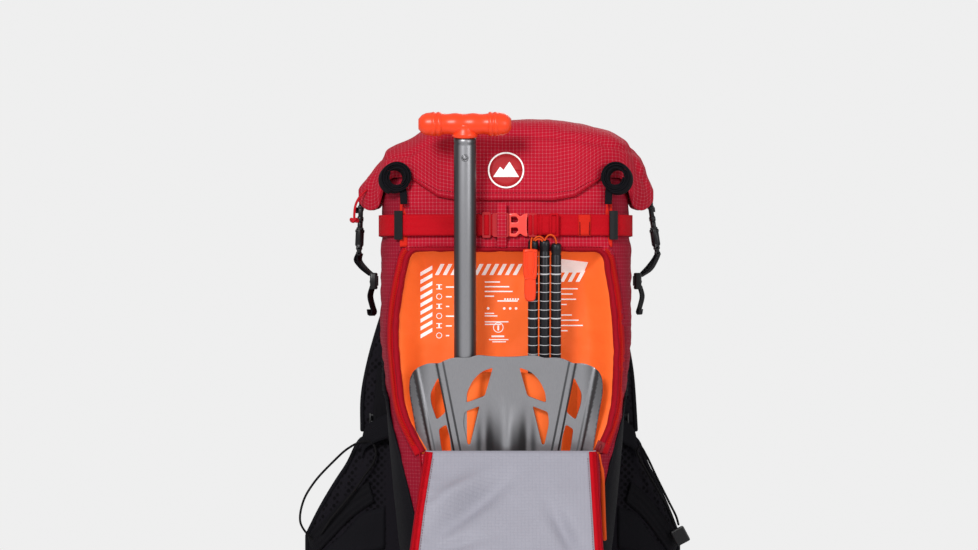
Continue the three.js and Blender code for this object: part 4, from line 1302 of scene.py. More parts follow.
def roll_top():
    xs, points = roll_points()
    around = np.linalg.norm(np.diff(points, axis=1, prepend=points[:, :1]), axis=2).cumsum(axis=1)
    uv = stacked(xs[:, None], around)
    piece("roll_top_fabric", loft(points, uv), "ripstop", "roll_top", "roll_top")
    strip = points[4:-4, STIFFENER_ROW]
    piece("roll_stiffener", ribbon(strip + [0, 0, 0.7], (0, 19, 0), 7, 0.6), "red_webbing", "roll_top",
          thick=1.3)
    lip = points[(np.abs(xs) < 112), 0]
    piece("roll_lip_seam", tube(lip + [0, -0.4, 0.6], 0.9, 8), "hem", "roll_top")
    seam = points[(np.abs(xs) < 110), 2]
    piece("roll_lip_stitching", stitches(seam + [0, -0.5, 0], (0, -1, 0)), "thread", "roll_top")
    badge(xs, points)
    closure_collar()
    for side, sign in SIDES:
        side_strap(side, sign)


def closure_collar():
    """The collar's back: cloth from the bag's rim up into the roll."""
    x = np.linspace(-118, 118, 60)
    heights = np.array([504, 511, 516, 520, 524, 529, 536])[:, None]
    depths = np.array([88.6, 88.8, 88.4, 87.6, 86.6, 85.8, 85.2])[:, None]
    rows = stacked(x, depths - 7 * ease(np.abs(x), 100, 122), heights)
    made = piece("closure_collar", grid(rows, rows[..., [0, 2]]), "ripstop", thick=0.9)
    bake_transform(made)


def side_strap(side, sign):
    """The band from an ear of the roll down to the side of the bag, with its buckle and adjuster."""
    y = SIDE_STRAP_Y
    top, bottom = np.array([sign * 173.5, y, 489]), np.array([sign * (179 + 3 * sign), y, 431])
    down = unit(bottom - top)
    deep = np.array([0, 1, 0])
    axes = np.array([unit(np.cross(deep, -down)), deep, -down])
    reach = np.linalg.norm(bottom - top)

    def part(size, along, out=0.0, deep_at=0.0):
        return block(size, min(size) * 0.3, top + down * along + axes[0] * out + deep * deep_at, axes)

    male = [part((7, 25, 5), 3), part((5, 3, 14), 9, 0, -10.5), part((5, 3, 14), 9, 0, 10.5),
            part((7, 25, 8), 17), part((6, 19, 14), 25), part((8, 25, 3.4), 28.5)]
    male += [part((5, 4.5, 20), 36, 0, edge * 10) for edge in (-1, 1)]
    female = [part((9.6, 24, 20), 41), part((10.6, 20, 5), 31.5), part((7, 25, 5), 52),
              part((5, 3, 14), 54, 0, -11), part((5, 3, 14), 54, 0, 11), part((6.5, 25, 4.4), reach)]
    piece(f"side_buckle_male_half_{side}", together(male), "black_plastic", "roll_top",
          f"side_buckle_male_{side}")
    piece(f"side_buckle_female_half_{side}", together(female), "black_plastic", "pack",
          f"side_buckle_female_{side}")
    hanger = smooth_path([[sign * 160, y, 512], [sign * 168, y, 503], [sign * 172.6, y, 496], top + down * 4,
                          top + down * 9 + axes[0] * sign * 2.5, top - [0, 0, 3] + axes[0] * 3.4 * sign], 2)
    piece(f"side_hanger_webbing_{side}", ribbon(hanger, (5, 18, 0)), "black_webbing", "roll_top", thick=1.4)
    dress(f"side_adjuster_{side}", "black_plastic", 1.0)
    lock = np.array([sign * 158.5, y, 398])
    frame_bars = [block((9, 26, 4.4), 1.3, lock + [0, 0, h]) for h in (7.5, -1, -8)]
    frame_bars += [block((8, 3.4, 18), 1.2, lock + [0, d, 0]) for d in (-11.5, 11.5)]
    piece(f"side_adjuster_frame_{side}", together(frame_bars), "black_plastic", "pack")
    bands = []
    for out, lag in ((-2.4, 0), (2.4, 4)):
        stops = [bottom + axes[0] * out * 0.4, [sign * 178 + out * 0.7, y, 423],
                 [sign * (170.5 + out * sign), y - 1, 413 - lag * 0.3],
                 [sign * (160.5 + out * 0.5 * sign), y, 404]]
        bands.append(ribbon(smooth_path(stops, 2), (5, 18, 0)))
    piece(f"side_webbing_band_{side}", together(bands), "black_webbing", "pack", f"side_webbing_{side}",
          thick=1.5)
    tail = smooth_path([[sign * 160, y - 1, 392], [sign * 163, y - 2, 380], [sign * 160.5, y - 3, 368],
                        [sign * 158.5, y - 2, 360], [sign * 161, y - 2, 357], [sign * 162.5, y - 2, 364]], 2)
    piece(f"side_webbing_tail_{side}", ribbon(tail, (5.5, 16, 0)), "black_webbing", "pack", thick=1.4)


def roll_front(xs, points, x, z, lift):
    """Points on the roll's front at x and height z."""
    x, z = np.broadcast_arrays(np.asarray(x, float), np.asarray(z, float))
    rows = points[:, :44]
    flat = []
    for px, pz in zip(x.ravel(), z.ravel()):
        i = np.clip(np.searchsorted(xs, px), 1, len(xs) - 1)
        share = (px - xs[i - 1]) / (xs[i] - xs[i - 1])
        ys = [np.interp(pz, rows[j, :, 2], rows[j, :, 1]) for j in (i - 1, i)]
        flat.append([px, ys[0] * (1 - share) + ys[1] * share - lift, pz])
    return np.array(flat).reshape(x.shape + (3,))


def badge(xs, points):
    """A plain round patch: a pale ring round a disc with two pale peaks on it."""
    centre_z, angles = 528, np.linspace(0, 2 * np.pi, 61)

    def disc(radii, lift):
        radii = np.asarray(radii, float)
        x = radii[:, None] * np.cos(angles)
        z = centre_z + radii[:, None] * np.sin(angles)
        return grid(roll_front(xs, points, x, z, lift), stacked(x, z))

    piece("badge_disc", disc([19.6, 14, 9, 4, 0.3], 1.4), "dull_red_plastic", "roll_top", thick=0.5)
    piece("badge_ring", disc([21.3, 20.6, 19.5], 1.9), "print", "roll_top", thick=0.8)
    ridge = np.array([[-15, -8], [-7, 4], [-3, 0], [4, 10], [9, 2], [15, -8]], float)
    x = np.linspace(-15, 15, 41)
    top = np.interp(x, ridge[:, 0], ridge[:, 1])
    z = centre_z - 8 + np.linspace(0, 1, 9)[:, None] * (top + 8.2)
    peaks = grid(roll_front(xs, points, np.broadcast_to(x, z.shape), z, 2.0),
                 stacked(x, z))
    piece("badge_peaks", peaks, "print", "roll_top", thick=0.4)


# ---------------------------------------------------------------- front strap, keepers and loops


def strap_path(first, last, offset, step=3):
    """Along the front strap between two distances round the body."""
    return body_at(STRAP_Z, np.arange(first, last, step * np.sign(last - first)), offset)


def front_strap():
    side = around_from_y(STRAP_Z, 66)
    left, right = around_from_x(STRAP_Z, -12), around_from_x(STRAP_Z, 36)
    for name, first, last in (("left", -side, left), ("right", right, side)):
        path = strap_path(first, last, 3.4)
        sag = 0.8 * noise(path, 38, 41)
        path = path + outward(path) * np.abs(sag)[:, None]
        piece(f"front_strap_{name}", ribbon(path, (0, 0, STRAP_WIDTH), 9), "red_webbing", "pack",
              f"strap_{name}", thick=1.4)
    for node in ("buckle_female", "ladder_lock_left", "ladder_lock_right"):
        dress(node, "dull_red_plastic", 0.7)
    buckle_male()
    for name, body, stops in (("left", "pack", ((-31.5, 7.5), (-23.0, 7.0), (-16.2, 5.0))),
                              ("right", "strap_buckle", ((28.5, 5.5), (34.5, 6.0), (40.5, 4.5)))):
        fold_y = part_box(f"ladder_lock_{name}")[0].y / MM + 2.2
        folds = [block((width, 6.5, 25.5), 2.2, (x, fold_y, STRAP_Z)) for x, width in stops]
        piece(f"strap_folds_{name}", together(folds), "red_webbing", body)
    plate_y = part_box("strap_tail")[0].y / MM
    tail = smooth_path([[37, plate_y + 0.8, STRAP_Z], [50, plate_y + 0.2, STRAP_Z],
                        [62, plate_y + 1.0, STRAP_Z]], 2)
    piece("strap_tail_band", ribbon(tail, (0, 0, 23), 7), "red_webbing", "strap_buckle", "strap_tail",
          thick=1.3)
    bars = [block((3, 2.4, 27), 1, (x, plate_y - 1.4, STRAP_Z)) for x in (52, 60)]
    bars += [block((11, 2.4, 2.6), 1, (56, plate_y - 1.4, STRAP_Z + h)) for h in (-12.4, 12.4)]
    piece("strap_triglide", together(bars), "red_webbing", "strap_buckle")
    tab = strap_path(around_from_x(STRAP_Z, 84), around_from_x(STRAP_Z, 98), 5.4, 2)
    piece("strap_bartack_tab", ribbon(tab, (0, 0, 24.5)), "orange_webbing", "pack", thick=1.0)
    for i, x in enumerate((85.5, 96.5)):
        z = np.linspace(STRAP_Z - 11, STRAP_Z + 11, 20)
        path = front_at(x, z, 6.5)
        piece(f"strap_bartack_{i + 1}", stitches(path, outward(path), 1.6, 1.2, 1.4), "thread", "pack")
    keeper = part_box("buckle_keeper")
    x, y = (keeper[0].x + keeper[1].x) / 2 / MM, keeper[0].y / MM
    route = smooth_path([[x, y + 7.5, 437], [x, y + 4.2, 446], [x, y + 0.8, 452.5], [x, y + 0.5, STRAP_Z],
                         [x, y + 0.8, 474.5], [x, y + 4.2, 481], [x, y + 7.5, 490]], 2)
    piece("buckle_keeper_strip", ribbon(route, (11, 0, 0), 7), "ripstop", "pack", "buckle_keeper", thick=0.9)


def buckle_male():
    """The front half of the strap's buckle: a waisted plate with two slots between its prongs."""
    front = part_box("buckle_male")[0].y / MM
    half = [[3, 0, 0], [3, 13.2, 1], [12, 14, 2], [16.5, 9.5, 4], [20, 12.5, 2], [25.5, 14, 1.5],
            [24.3, 6, 5]]
    outline = rounded([[x, STRAP_Z + h, r] for x, h, r in half]
                      + [[x, STRAP_Z - h, r] for x, h, r in reversed(half[1:])], 1.2)
    slot = ((5.5, 3), (13, 3), (14.5, 6), (11.5, 10), (5.5, 10))
    slots = [rounded([[x, STRAP_Z + side * h, 1] for x, h in slot], 1) for _, side in SIDES]

    def surface(x, z):
        return stacked(x, front + 1.7 + 0.008 * (x - 14) ** 2, z)

    made = piece("strap_buckle_tongue", plate(outline, slots, surface, 1.6), "red_plastic", "strap_buckle",
                 "buckle_male", thick=4.2)
    add_bevel(made, 0.7)


def keepers_and_loops():
    for side, sign in SIDES:
        dress(f"strap_keeper_{side}", "black_plastic", 0.5)
        z = np.linspace(438, 514, 26)
        path = front_at(sign * 120 + 0 * z, z, 0.8)
        piece(f"attachment_band_{side}", ribbon(path, (9, 0, 0)), "orange_webbing", "pack",
              f"attachment_webbing_{side}", thick=1.2)
        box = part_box(f"tool_loop_{side}")
        centre = (box[0] + box[1]) / 2 / MM
        count = 220
        turns = np.linspace(0, 4.3 * 2 * np.pi, count)
        radius = 18.8 - 8.8 * turns / turns[-1] + 0.25 * np.sin(turns * 2.3)
        angle = math.radians(250) + turns * sign
        spiral = np.column_stack([centre.x + sign * 3 + radius * np.cos(angle),
                                  centre.y + 0.8 * np.sin(turns * 0.5), centre.z + radius * np.sin(angle)])
        lean = np.column_stack([np.full(count, sign * 3.5), np.full(count, 10.0), np.full(count, -2.5)])
        piece(f"tool_loop_roll_{side}", ribbon(spiral, lean * sign, 7, 0.3), "stretch", "pack",
              f"tool_loop_{side}", thick=1.75)
        tab = smooth_path([[sign * 121, centre.y + 3, 506], [sign * 120.5, -101.5, 498],
                           [sign * 120, -105.6, 488]], 2)
        piece(f"tool_loop_tab_{side}", ribbon(tab, (8.5, 0, 0)), "stretch", "pack", thick=1.5)


# ---------------------------------------------------------------- side pockets and base

# The side pocket's front edge: height and x.
SIDE_EDGE = np.array([[40, 90], [118, 106], [194, 124], [262, 143]], float)


def side_pockets():
    """The stretch pockets, gathered under a hem along their slanting tops."""
    rows, columns = 54, 60
    v, s = np.meshgrid(np.linspace(0, 1, rows), np.linspace(0, 1, columns), indexing="ij")
    top = 258 + 62 * s**0.8 - 7 * np.sin(np.pi * s)
    z = 38 + v * (top - 38)
    u = np.empty(z.shape)
    for i, j in np.ndindex(z.shape):
        height = z[i, j]
        x = np.interp(height, *SIDE_EDGE.T)
        first = around_from_x(height, min(x, 0.985 * table_at(height, BODY)[0]))
        last = around_from_y(height, 80)
        u[i, j] = first + s[i, j] * (last - first)
    gather = 0.9 * np.sin(u * 2 * np.pi / 6.5 + 2 * noise(stacked(u, 0, z), 20, 5)) * ease(v, 0.86, 0.97)
    bag = 3.2 * np.sin(np.pi * np.clip(s, 0, 1)) ** 0.7 * np.sin(np.pi * np.clip(v, 0, 1)) ** 0.6
    edge = np.minimum(ease(s, 0, 0.05), ease(v, 0, 0.05))
    for side, sign in SIDES:
        lift = 1.6 + edge * (bag + 0.8 * noise(stacked(u, z, 0), 40, 51 + sign)) + gather * edge
        points = body_at(z, sign * u, lift)
        if sign < 0:
            points, place = points[:, ::-1], stacked(-u, z)[:, ::-1]
        else:
            place = stacked(u, z)
        piece(f"side_pocket_fabric_{side}", grid(points, place), "stretch", "pack", f"side_pocket_{side}",
              thick=1.0)
        hem = body_at(z[-1], sign * u[-1], lift[-1] + 0.3)
        piece(f"side_pocket_hem_{side}", tube(hem, 2.1, 10), "black", "pack")
        binding = body_at(z[:, 0], sign * u[:, 0], 1.4)
        piece(f"side_pocket_binding_{side}", tube(binding, 1.3, 8), "black", "pack")


def base():
    low, high = (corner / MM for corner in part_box("base_panel"))
    corners = [[low.x, low.y, 26], [high.x, low.y, 26], [high.x, high.y, 26], [low.x, high.y, 26]]
    outline = rounded(corners, 5)
    middle = np.array([low.x + high.x, low.y + high.y]) / 2
    rings = []
    for z, inset in ((0.0, 3.0), (0.5, 1.0), (1.6, 0.0), (3.0, 0.2), (4.1, 1.2)):
        share = 1 - inset / 90
        rings.append(np.column_stack([middle + (outline - middle) * share, np.full(len(outline), z)]))
    piece("base_fabric", loft(rings), "black", "pack", "base_panel")
    arc = section(9)[0][-1]
    piping = body_at(9, np.linspace(-1, 1, 160) * arc, 0.9)
    piece("base_piping", tube(piping, 1.7, 8, round_ends=False), "black", "pack")


def inner_frame():
    """The frame sheet and stays show their solids as they are."""
    dress("frame_sheet", "sheet_plastic", 0.5)
    for side, _ in SIDES:
        dress(f"frame_stay_{side}", "frame_metal", 0.8)


# ---------------------------------------------------------------- zip slider


def zip_slider():
    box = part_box("zip_slider")
    at = np.array((box[0] + box[1]) / 2) / MM
    turn = math.radians(24)
    axes = np.array([[math.cos(turn), 0, -math.sin(turn)], [0, 1, 0], [math.sin(turn), 0, math.cos(turn)]])
    body = [block((9.5, 1.7, 13), 0.8, at + [0, h, 0], axes) for h in (-1.9, 1.9)]
    body.append(block((2.6, 3.6, 4), 0.7, at + axes[2] * 3, axes))
    arch = smooth_path([at + axes[2] * 4 + [0, -2, 0], at + axes[2] * 2 + [0, -4.6, 0],
                        at - axes[2] * 3 + [0, -4.8, 0], at - axes[2] * 5 + [0, -2.2, 0]], 1)
    body.append(tube(arch, 1.0, 8))
    piece("zip_slider_body", together(body), "dark_red_plastic", "zip_slider", "zip_slider")
    low, high = (np.array(corner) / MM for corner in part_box("zip_pull"))
    y = (low[1] + high[1]) / 2
    route = smooth_path([[109, y, 195], [112, y, 175], [113, y, 150], [114, y, 120], [115, y, 97]], 2)
    share = np.linspace(0, 1, len(route))
    thick = 1.2 + 1.3 * ease(share, 0.1, 0.2)
    piece("zip_pull_cord", tube(route, thick, 12), "orange_cord", "zip_pull", "zip_pull")


# ---------------------------------------------------------------- carried tools

TOOL_AXES = np.array([[1, 0, 0], [0, math.cos(TOOL_LEAN), math.sin(TOOL_LEAN)],
                      [0, -math.sin(TOOL_LEAN), math.cos(TOOL_LEAN)]])
TOOL_PLANE_Y, TOOL_PLANE_Z = -136, 474.5      # a point of the plane that the tools stand in
SHAFT_X, SHAFT_RADIUS, SHAFT_LENGTH = -48, 13, 452
BLADE_LENGTH = 274


def tool_origin(height, forward=0.0):
    return np.array([0, TOOL_PLANE_Y + math.tan(TOOL_LEAN) * (TOOL_PLANE_Z - height) - forward, height])


def shovel_shaft():
    origin = tool_origin(118)
    r = SHAFT_RADIUS
    profile = [(10.8, 8), (10.8, 0), (12.2, 0), (r, 1.2), (r, 40), (r - 0.35, 41), (r - 0.35, 42), (r, 43),
               (r, 150), (r, 300), (r, 443), (r - 0.3, 444), (r - 0.3, 446), (r, 447), (r, 451),
               (r - 1, SHAFT_LENGTH)]
    shaft = placed(lathe(profile, 48), (SHAFT_X, 0, 0))
    button = lathe([(4.2, 0), (4.2, 0.6), (3.6, 1.0), (3.2, 1.0), (3.0, 0.4), (2.6, 1.4), (1.4, 2.0)], 20)
    buttons = [placed(button, (SHAFT_X, sunk - r, z), [[1, 0, 0], [0, 0, 1], [0, -1, 0]])
               for z, sunk in ((26, 1.9), (430, 0.4))]
    piece("shovel_shaft_tube", placed(together([shaft, *buttons]), origin, TOOL_AXES), "shell",
          "shovel_shaft", "shovel_shaft")
    along = np.linspace(-42, 42, 70)
    ends = np.abs(along) / 42
    radius = 12.4 + 1.3 * hump(ends, 0.9, 0.16) - 0.5 * np.cos(along * 2 * np.pi / 21) * (ends < 0.85)
    bar_path = np.column_stack([SHAFT_X + along, 0 * along, np.full(70, SHAFT_LENGTH + 16)])
    bar_shape = tube(bar_path, radius, 28)
    neck = lathe([(13.4, 0.6), (14.6, 1.2), (14.9, 4), (14.2, 6.5), (12.6, 9), (12.2, 14), (12.6, 17)], 36)
    neck = placed(neck, (SHAFT_X, 0, SHAFT_LENGTH))
    cuffs = [placed(lathe([(11.5, -3), (13.9, -2.4), (14.3, 0), (13.9, 2.4), (11.5, 3)], 36),
                    (SHAFT_X + x, 0, SHAFT_LENGTH + 16), [[0, 0, 1], [0, 1, 0], [-1, 0, 0]])
             for x in (-36, -30, 30, 36)]
    piece("shovel_t_grip", placed(together([bar_shape, neck, *cuffs]), origin, TOOL_AXES), "orange_plastic",
          "shovel_shaft", "shovel_grip")


# The blade's straight ribs: lower end, upper end, half width and height.
BLADE_RIBS = [((44, 90), (79, 270), 2.6, 2.4), ((72, 90), (107, 262), 1.2, 2.2)]
RIB_FLANK = 2.6


def rib_line(foot, head, h):
    """How far from the blade's middle a rib lies at a height."""
    return foot[0] + (head[0] - foot[0]) * (h - foot[1]) / (head[1] - foot[1])


def blade_depth(x, h):
    """How far the blade's face lies behind its plane."""
    share = h / BLADE_LENGTH
    curl = 14 * (np.abs(x) / 116) ** 3.2 * (0.4 + 0.6 * share)
    low = ease(h, 238, 160)
    socket = -4.5 * hump(x, 0, 17) * (0.35 + 0.65 * low) - 6.0 * hump(x, 0, 11) * low
    valleys = 6.5 * hump(np.abs(x), 26, 8.0) * low
    ribs = 0.0
    for foot, head, wide, tall in BLADE_RIBS:
        off = np.abs(np.abs(x) - rib_line(foot, head, h))
        ribs = ribs - tall * ease(off, wide + RIB_FLANK, wide)
    rim = 7 * ease(np.abs(x), 88, 126) * ease(h, 120, 220)
    return curl + socket + valleys + ribs + rim


def blade_surface(x, h):
    local = stacked(x, blade_depth(x, h), h)
    return local @ TOOL_AXES + tool_origin(42, 16)


BLADE_EDGE = [[0, 0, 0], [40, 0, 0], [58, 3, 8], [72, 16, 14], [88, 64, 60], [98, 130, 60], [107, 188, 40],
              [114, 226, 18], [113, 243, 10], [107, 254, 10], [92, 262, 10], [80, 262, 8], [62, 270, 16],
              [44, 269, 12], [34, 273, 12], [14, 271, 10], [0, 272, 0]]
BLADE_WINDOWS = [
    [[15.5, 258, 2], [25, 224, 3], [47, 216, 3], [46, 228, 8], [39, 243, 10], [28.5, 253.5, 8]],
    [[31, 212, 2], [49, 205, 3], [50.5, 191, 8], [45, 166, 2], [42, 166, 2]],
    [[79.5, 246, 3], [89, 226, 8], [88, 214, 8], [81.5, 195, 3], [71, 204, 3]],
    [[70, 190, 3], [79, 184, 3], [76, 160, 8], [67, 132, 2], [62, 136, 2], [66, 175, 4]],
]


def shovel_blade():
    half = BLADE_EDGE[1:-1]
    outline = rounded([[x, h, r] for x, h, r in half] + [[-x, h, r] for x, h, r in reversed(half)], 3)
    holes = [rounded([[sign * x, h, r] for x, h, r in corners], 1.6)
             for corners in BLADE_WINDOWS for _, sign in SIDES]
    creases = []
    for foot, head, wide, _ in BLADE_RIBS:
        h = np.linspace(120, head[1] - 6, 70)
        flank = [wide + RIB_FLANK, wide + RIB_FLANK / 2, wide]
        for offset in [-off for off in flank] + flank[::-1]:
            x = rib_line(foot, head, h) + offset
            creases += [np.column_stack([sign * x, h]) for _, sign in SIDES]
    shape = plate(outline, holes, blade_surface, 2.0, creases)
    made = piece("shovel_blade_shell", shape, "shell", "shovel_blade", "shovel_blade", thick=1.8)
    add_bevel(made, 0.5)


def tool_sleeve():
    """The orange sleeve inside the pocket that holds the feet of the shaft and the probe."""
    low, high, half = 20.0, 252.0, 84.0
    origin = tool_origin(42)

    def surface(x, h):
        room = SHAFT_RADIUS + 0.5
        over_shaft = room * np.sqrt(np.maximum(0, 1 - ((x - SHAFT_X) / (room + 7)) ** 2))
        over_probe = 6.5 * ease(np.abs(x - 45), 29, 20)
        forward = np.maximum(over_shaft, over_probe)
        soft = 0.5 * noise(stacked(x, 0, h), 16, 71)
        side = 16 * ease(np.abs(x), 58, half)
        local = stacked(x, 0.6 - forward + soft * (forward < 6) + side, h)
        return local @ TOOL_AXES + origin

    outline = rounded([[-half, low, 12], [half, low, 12], [half, high - 14, 10], [40, high, 30],
                       [-40, high, 30], [-half, high - 14, 10]], 4)
    piece("tool_sleeve", plate(outline, [], surface, 3.4), "lining", "pack", thick=0.6)


def probe():
    origin = tool_origin(96, -3)
    length, radius = 354, 6
    places = ((45, 0.8), (58.5, 0.3), (31.5, 0.3))
    rings = []
    for i, (x, y) in enumerate(places):
        size = length - 4 * (i % 2)
        profile = [(4.6, 0), (radius, 1.4), (radius, size - 14), (radius - 0.5, size - 13),
                   (radius - 0.5, size - 11.5), (radius, size - 10.5), (radius, size - 2),
                   (radius - 1.2, size)]
        piece(f"probe_tube_{i + 1}", placed(placed(lathe(profile, 28), (x, y, 0)), origin, TOOL_AXES),
              "dark_metal", "probe", f"probe_section_{i + 1}")
        for k, h in enumerate(np.arange(9, size - 16, 10.5)):
            thick = 1.7 if k % 5 == 4 else 0.9      # every fifth ring is wider
            r = radius + 0.12
            rings.append(placed(lathe([(r - 0.5, h), (r, h + 0.1), (r, h + thick),
                                       (r - 0.5, h + thick + 0.1)], 24), (x, y, 0)))
    piece("probe_scale_rings", placed(together(rings), origin, TOOL_AXES), "pale", "probe")
    loops = []
    for a, b, rise in ((31.5, 45, 9), (45, 58.5, 11), (33, 43, 6)):
        t = np.linspace(0, np.pi, 24)
        x = (a + b) / 2 - (b - a) / 2 * np.cos(t)
        loops.append(tube(np.column_stack([x, -2 - 2 * np.sin(t), length - 4 + rise * np.sin(t)]), 1.0, 8))
    piece("probe_cord", placed(together(loops), origin, TOOL_AXES), "orange_cord", "probe")
    probe_handle(origin, length)


def probe_handle(origin, length):
    """The flat moulded pull on the probe's tensioning cord."""
    stops = [(-30, 4.6), (-27, 6.4), (-20, 7.0), (-10, 7.0), (-4, 6.6), (-2, 7.4), (2, 8.2), (14, 8.4),
             (28, 8.6), (30.3, 8.3)]
    rings = []
    angles = full_turn(32)
    for h, half in [(-30.4, 2.5), *stops, (31, 5.5)]:
        thick = 3.7 * min(1, half / 5.2)
        rings.append(stacked(half * signed_power(np.cos(angles), 0.75),
                             thick * signed_power(np.sin(angles), 0.75), h))
    pull = placed(loft(rings), (28, -10.8, length - 40))
    groove = [tube(np.array([[28 + x, -14.6, length - 40 + z] for x, z in route]), 0.9, 8)
              for route in ([(-4.6, 27), (-4.2, 12), (-2.2, 2)], [(4.6, 27), (4.2, 12), (2.2, 2)],
                            [(-6, -3), (0, -2.4), (6, -3)], [(-6.4, 29), (0, 29.6), (6.4, 29)])]
    piece("probe_pull_handle", placed(together([pull, *groove]), origin, TOOL_AXES), "orange_plastic",
          "probe", "probe_handle")
    cord_path = smooth_path([[29, -10.6, length - 10], [29, -9, length - 3], [30, -4, length + 3],
                             [31.5, 0, length + 1]], 1.5)
    piece("probe_tension_cord", placed(tube(cord_path, 1.0, 8), origin, TOOL_AXES), "orange_cord", "probe")


# ---------------------------------------------------------------- padding


def puffed(shape, voxel, pressure, cap):
    """A padded form: the shape remeshed, blown up as cloth, held to within cap of where it was."""
    mesh = bpy.data.meshes.new("pad")
    mesh.from_pydata((shape.points * MM).tolist(), [], shape.faces)
    pad = bpy.data.objects.new("pad", mesh)
    bpy.context.scene.collection.objects.link(pad)
    remesh = pad.modifiers.new("remesh", "REMESH")
    remesh.mode = "VOXEL"
    remesh.voxel_size = voxel * MM
    still = settled(pad)
    even = bpy.data.meshes.new("pad_even")
    even.from_pydata((still.points * MM).tolist(), [], still.faces)
    pad.modifiers.clear()
    pad.data = even
    cloth_modifier = pad.modifiers.new("cloth", "CLOTH")
    settings = cloth_modifier.settings
    settings.quality = 5
    settings.mass = 0.3
    settings.use_pressure = True
    settings.uniform_pressure_force = pressure
    settings.tension_stiffness = settings.compression_stiffness = 12
    settings.effector_weights.gravity = 0
    cloth_modifier.point_cache.frame_start, cloth_modifier.point_cache.frame_end = 1, 20
    for step in range(1, 21):
        bpy.context.scene.frame_set(step)
    blown = settled(pad)
    bpy.context.scene.frame_set(1)
    bpy.data.objects.remove(pad)
    move = blown.points - still.points
    far = np.linalg.norm(move, axis=1, keepdims=True)
    still.points = still.points + move * np.minimum(1, cap / np.maximum(far, 1e-6))
    return still


def settled(made):
    """The shape of an object with its modifiers, in millimetres."""
    graph = bpy.context.evaluated_depsgraph_get()
    mesh = made.evaluated_get(graph).to_mesh()
    points = np.empty(len(mesh.vertices) * 3)
    mesh.vertices.foreach_get("co", points)
    faces = [list(face.vertices) for face in mesh.polygons]
    return Shape(points.reshape(-1, 3) / MM, faces)


def mirror(shape):
    return Shape(shape.points * [-1, 1, 1], [face[::-1] for face in shape.faces], shape.uv)


# ---------------------------------------------------------------- harness

# Shoulder strap stops: x, y, height, width.
SHOULDER = np.array([
    [68, 113.5, 470, 50], [74, 135, 474, 58], [88, 162, 446, 62], [107, 178, 396, 62], [125, 182, 344, 62],
    [142, 176, 292, 58], [151, 162, 252, 54], [154, 149, 212, 48],
], float)

# The right strap hangs nearer the middle: heights and how far inward.
RIGHT_STRAP_INWARD = np.array([[212, 15], [252, 17], [292, 14], [344, 10], [396, 5], [446, 0]], float)


def on_side(side, shape):
    """A piece made for the right shoulder strap, moved to where that side's strap hangs."""
    if side == "left":
        return mirror(shape)
    [inward] = table_at(shape.points[:, 2], RIGHT_STRAP_INWARD)
    return Shape(shape.points - np.outer(inward, [1, 0, 0]), shape.faces, shape.uv)


def shoulder_frames():
    """The shoulder strap's middle line, its directions across and outwards, and its width."""
    path = smooth_path(SHOULDER, 5)
    along = unit(np.gradient(path[:, :3], axis=0))
    across = unit(np.array([1, 0, 0]) - along * along[:, :1])
    out = unit(np.cross(across, along))
    out *= np.sign((out * [0, 1, 0.2]).sum(axis=1))[:, None]
    return path[:, :3], across, out, path[:, 3]


def oval_ring(centre, across, out, half_width, half_thick, count=28, power=0.55):
    """A squared-off oval round a centre, across one direction and along another."""
    angle = full_turn(count)
    c, s = np.cos(angle), np.sin(angle)
    return (centre + np.outer(half_width * signed_power(c, power), across)
            + np.outer(half_thick * signed_power(s, 0.5), out))


def shoulder_straps():
    """Both shoulder straps, made once for the right side: pad, binding, webbing and its loops."""
    path, across, out, width = shoulder_frames()
    rings = [oval_ring(at, right, up, wide / 2 + 1.8, 4.6)
             for at, right, up, wide in zip(path, across, out, width)]
    pad = puffed(loft(rings), 4.5, 4, 2.2)
    reach = across * (width / 2 - 0.8)[:, None]
    binding = together(tube(path + reach * edge, 3.0, 10) for edge in (-1, 1))
    sewn = slice(6, -3)
    middle, right, up = (path + out * 6.0)[sewn], across[sewn], out[sewn]
    band = ribbon(middle, right * 20, 7)
    loops = []
    for i in range(10, len(middle) - 12, 9):
        low = middle[i] + up[i] * 0.6
        arch = smooth_path([low - right[i] * 15, middle[i] + up[i] * 2.2, low + right[i] * 15], 2)
        loops.append(ribbon(arch, unit(middle[i + 1] - middle[i]) * 9, 5))
    loops = together(loops)
    for side, sign in SIDES:
        body = f"shoulder_{side}"
        made = piece(f"shoulder_pad_{side}", on_side(side, pad), "mesh", body, f"shoulder_strap_{side}",
                     subdivide=1)
        piece(f"shoulder_binding_{side}", on_side(side, binding), "black", body)
        piece(f"shoulder_webbing_{side}", on_side(side, band), "black_webbing", body, thick=1.4)
        piece(f"shoulder_loops_{side}", on_side(side, loops), "black_webbing", body, thick=1.2)
        sternum_strap(side, sign)
        inward = 0 if side == "left" else RIGHT_STRAP_INWARD[0, 1]
        shoulder_end(side, sign, (path[-1] - [inward, 0, 0]) * [sign, 1, 1])


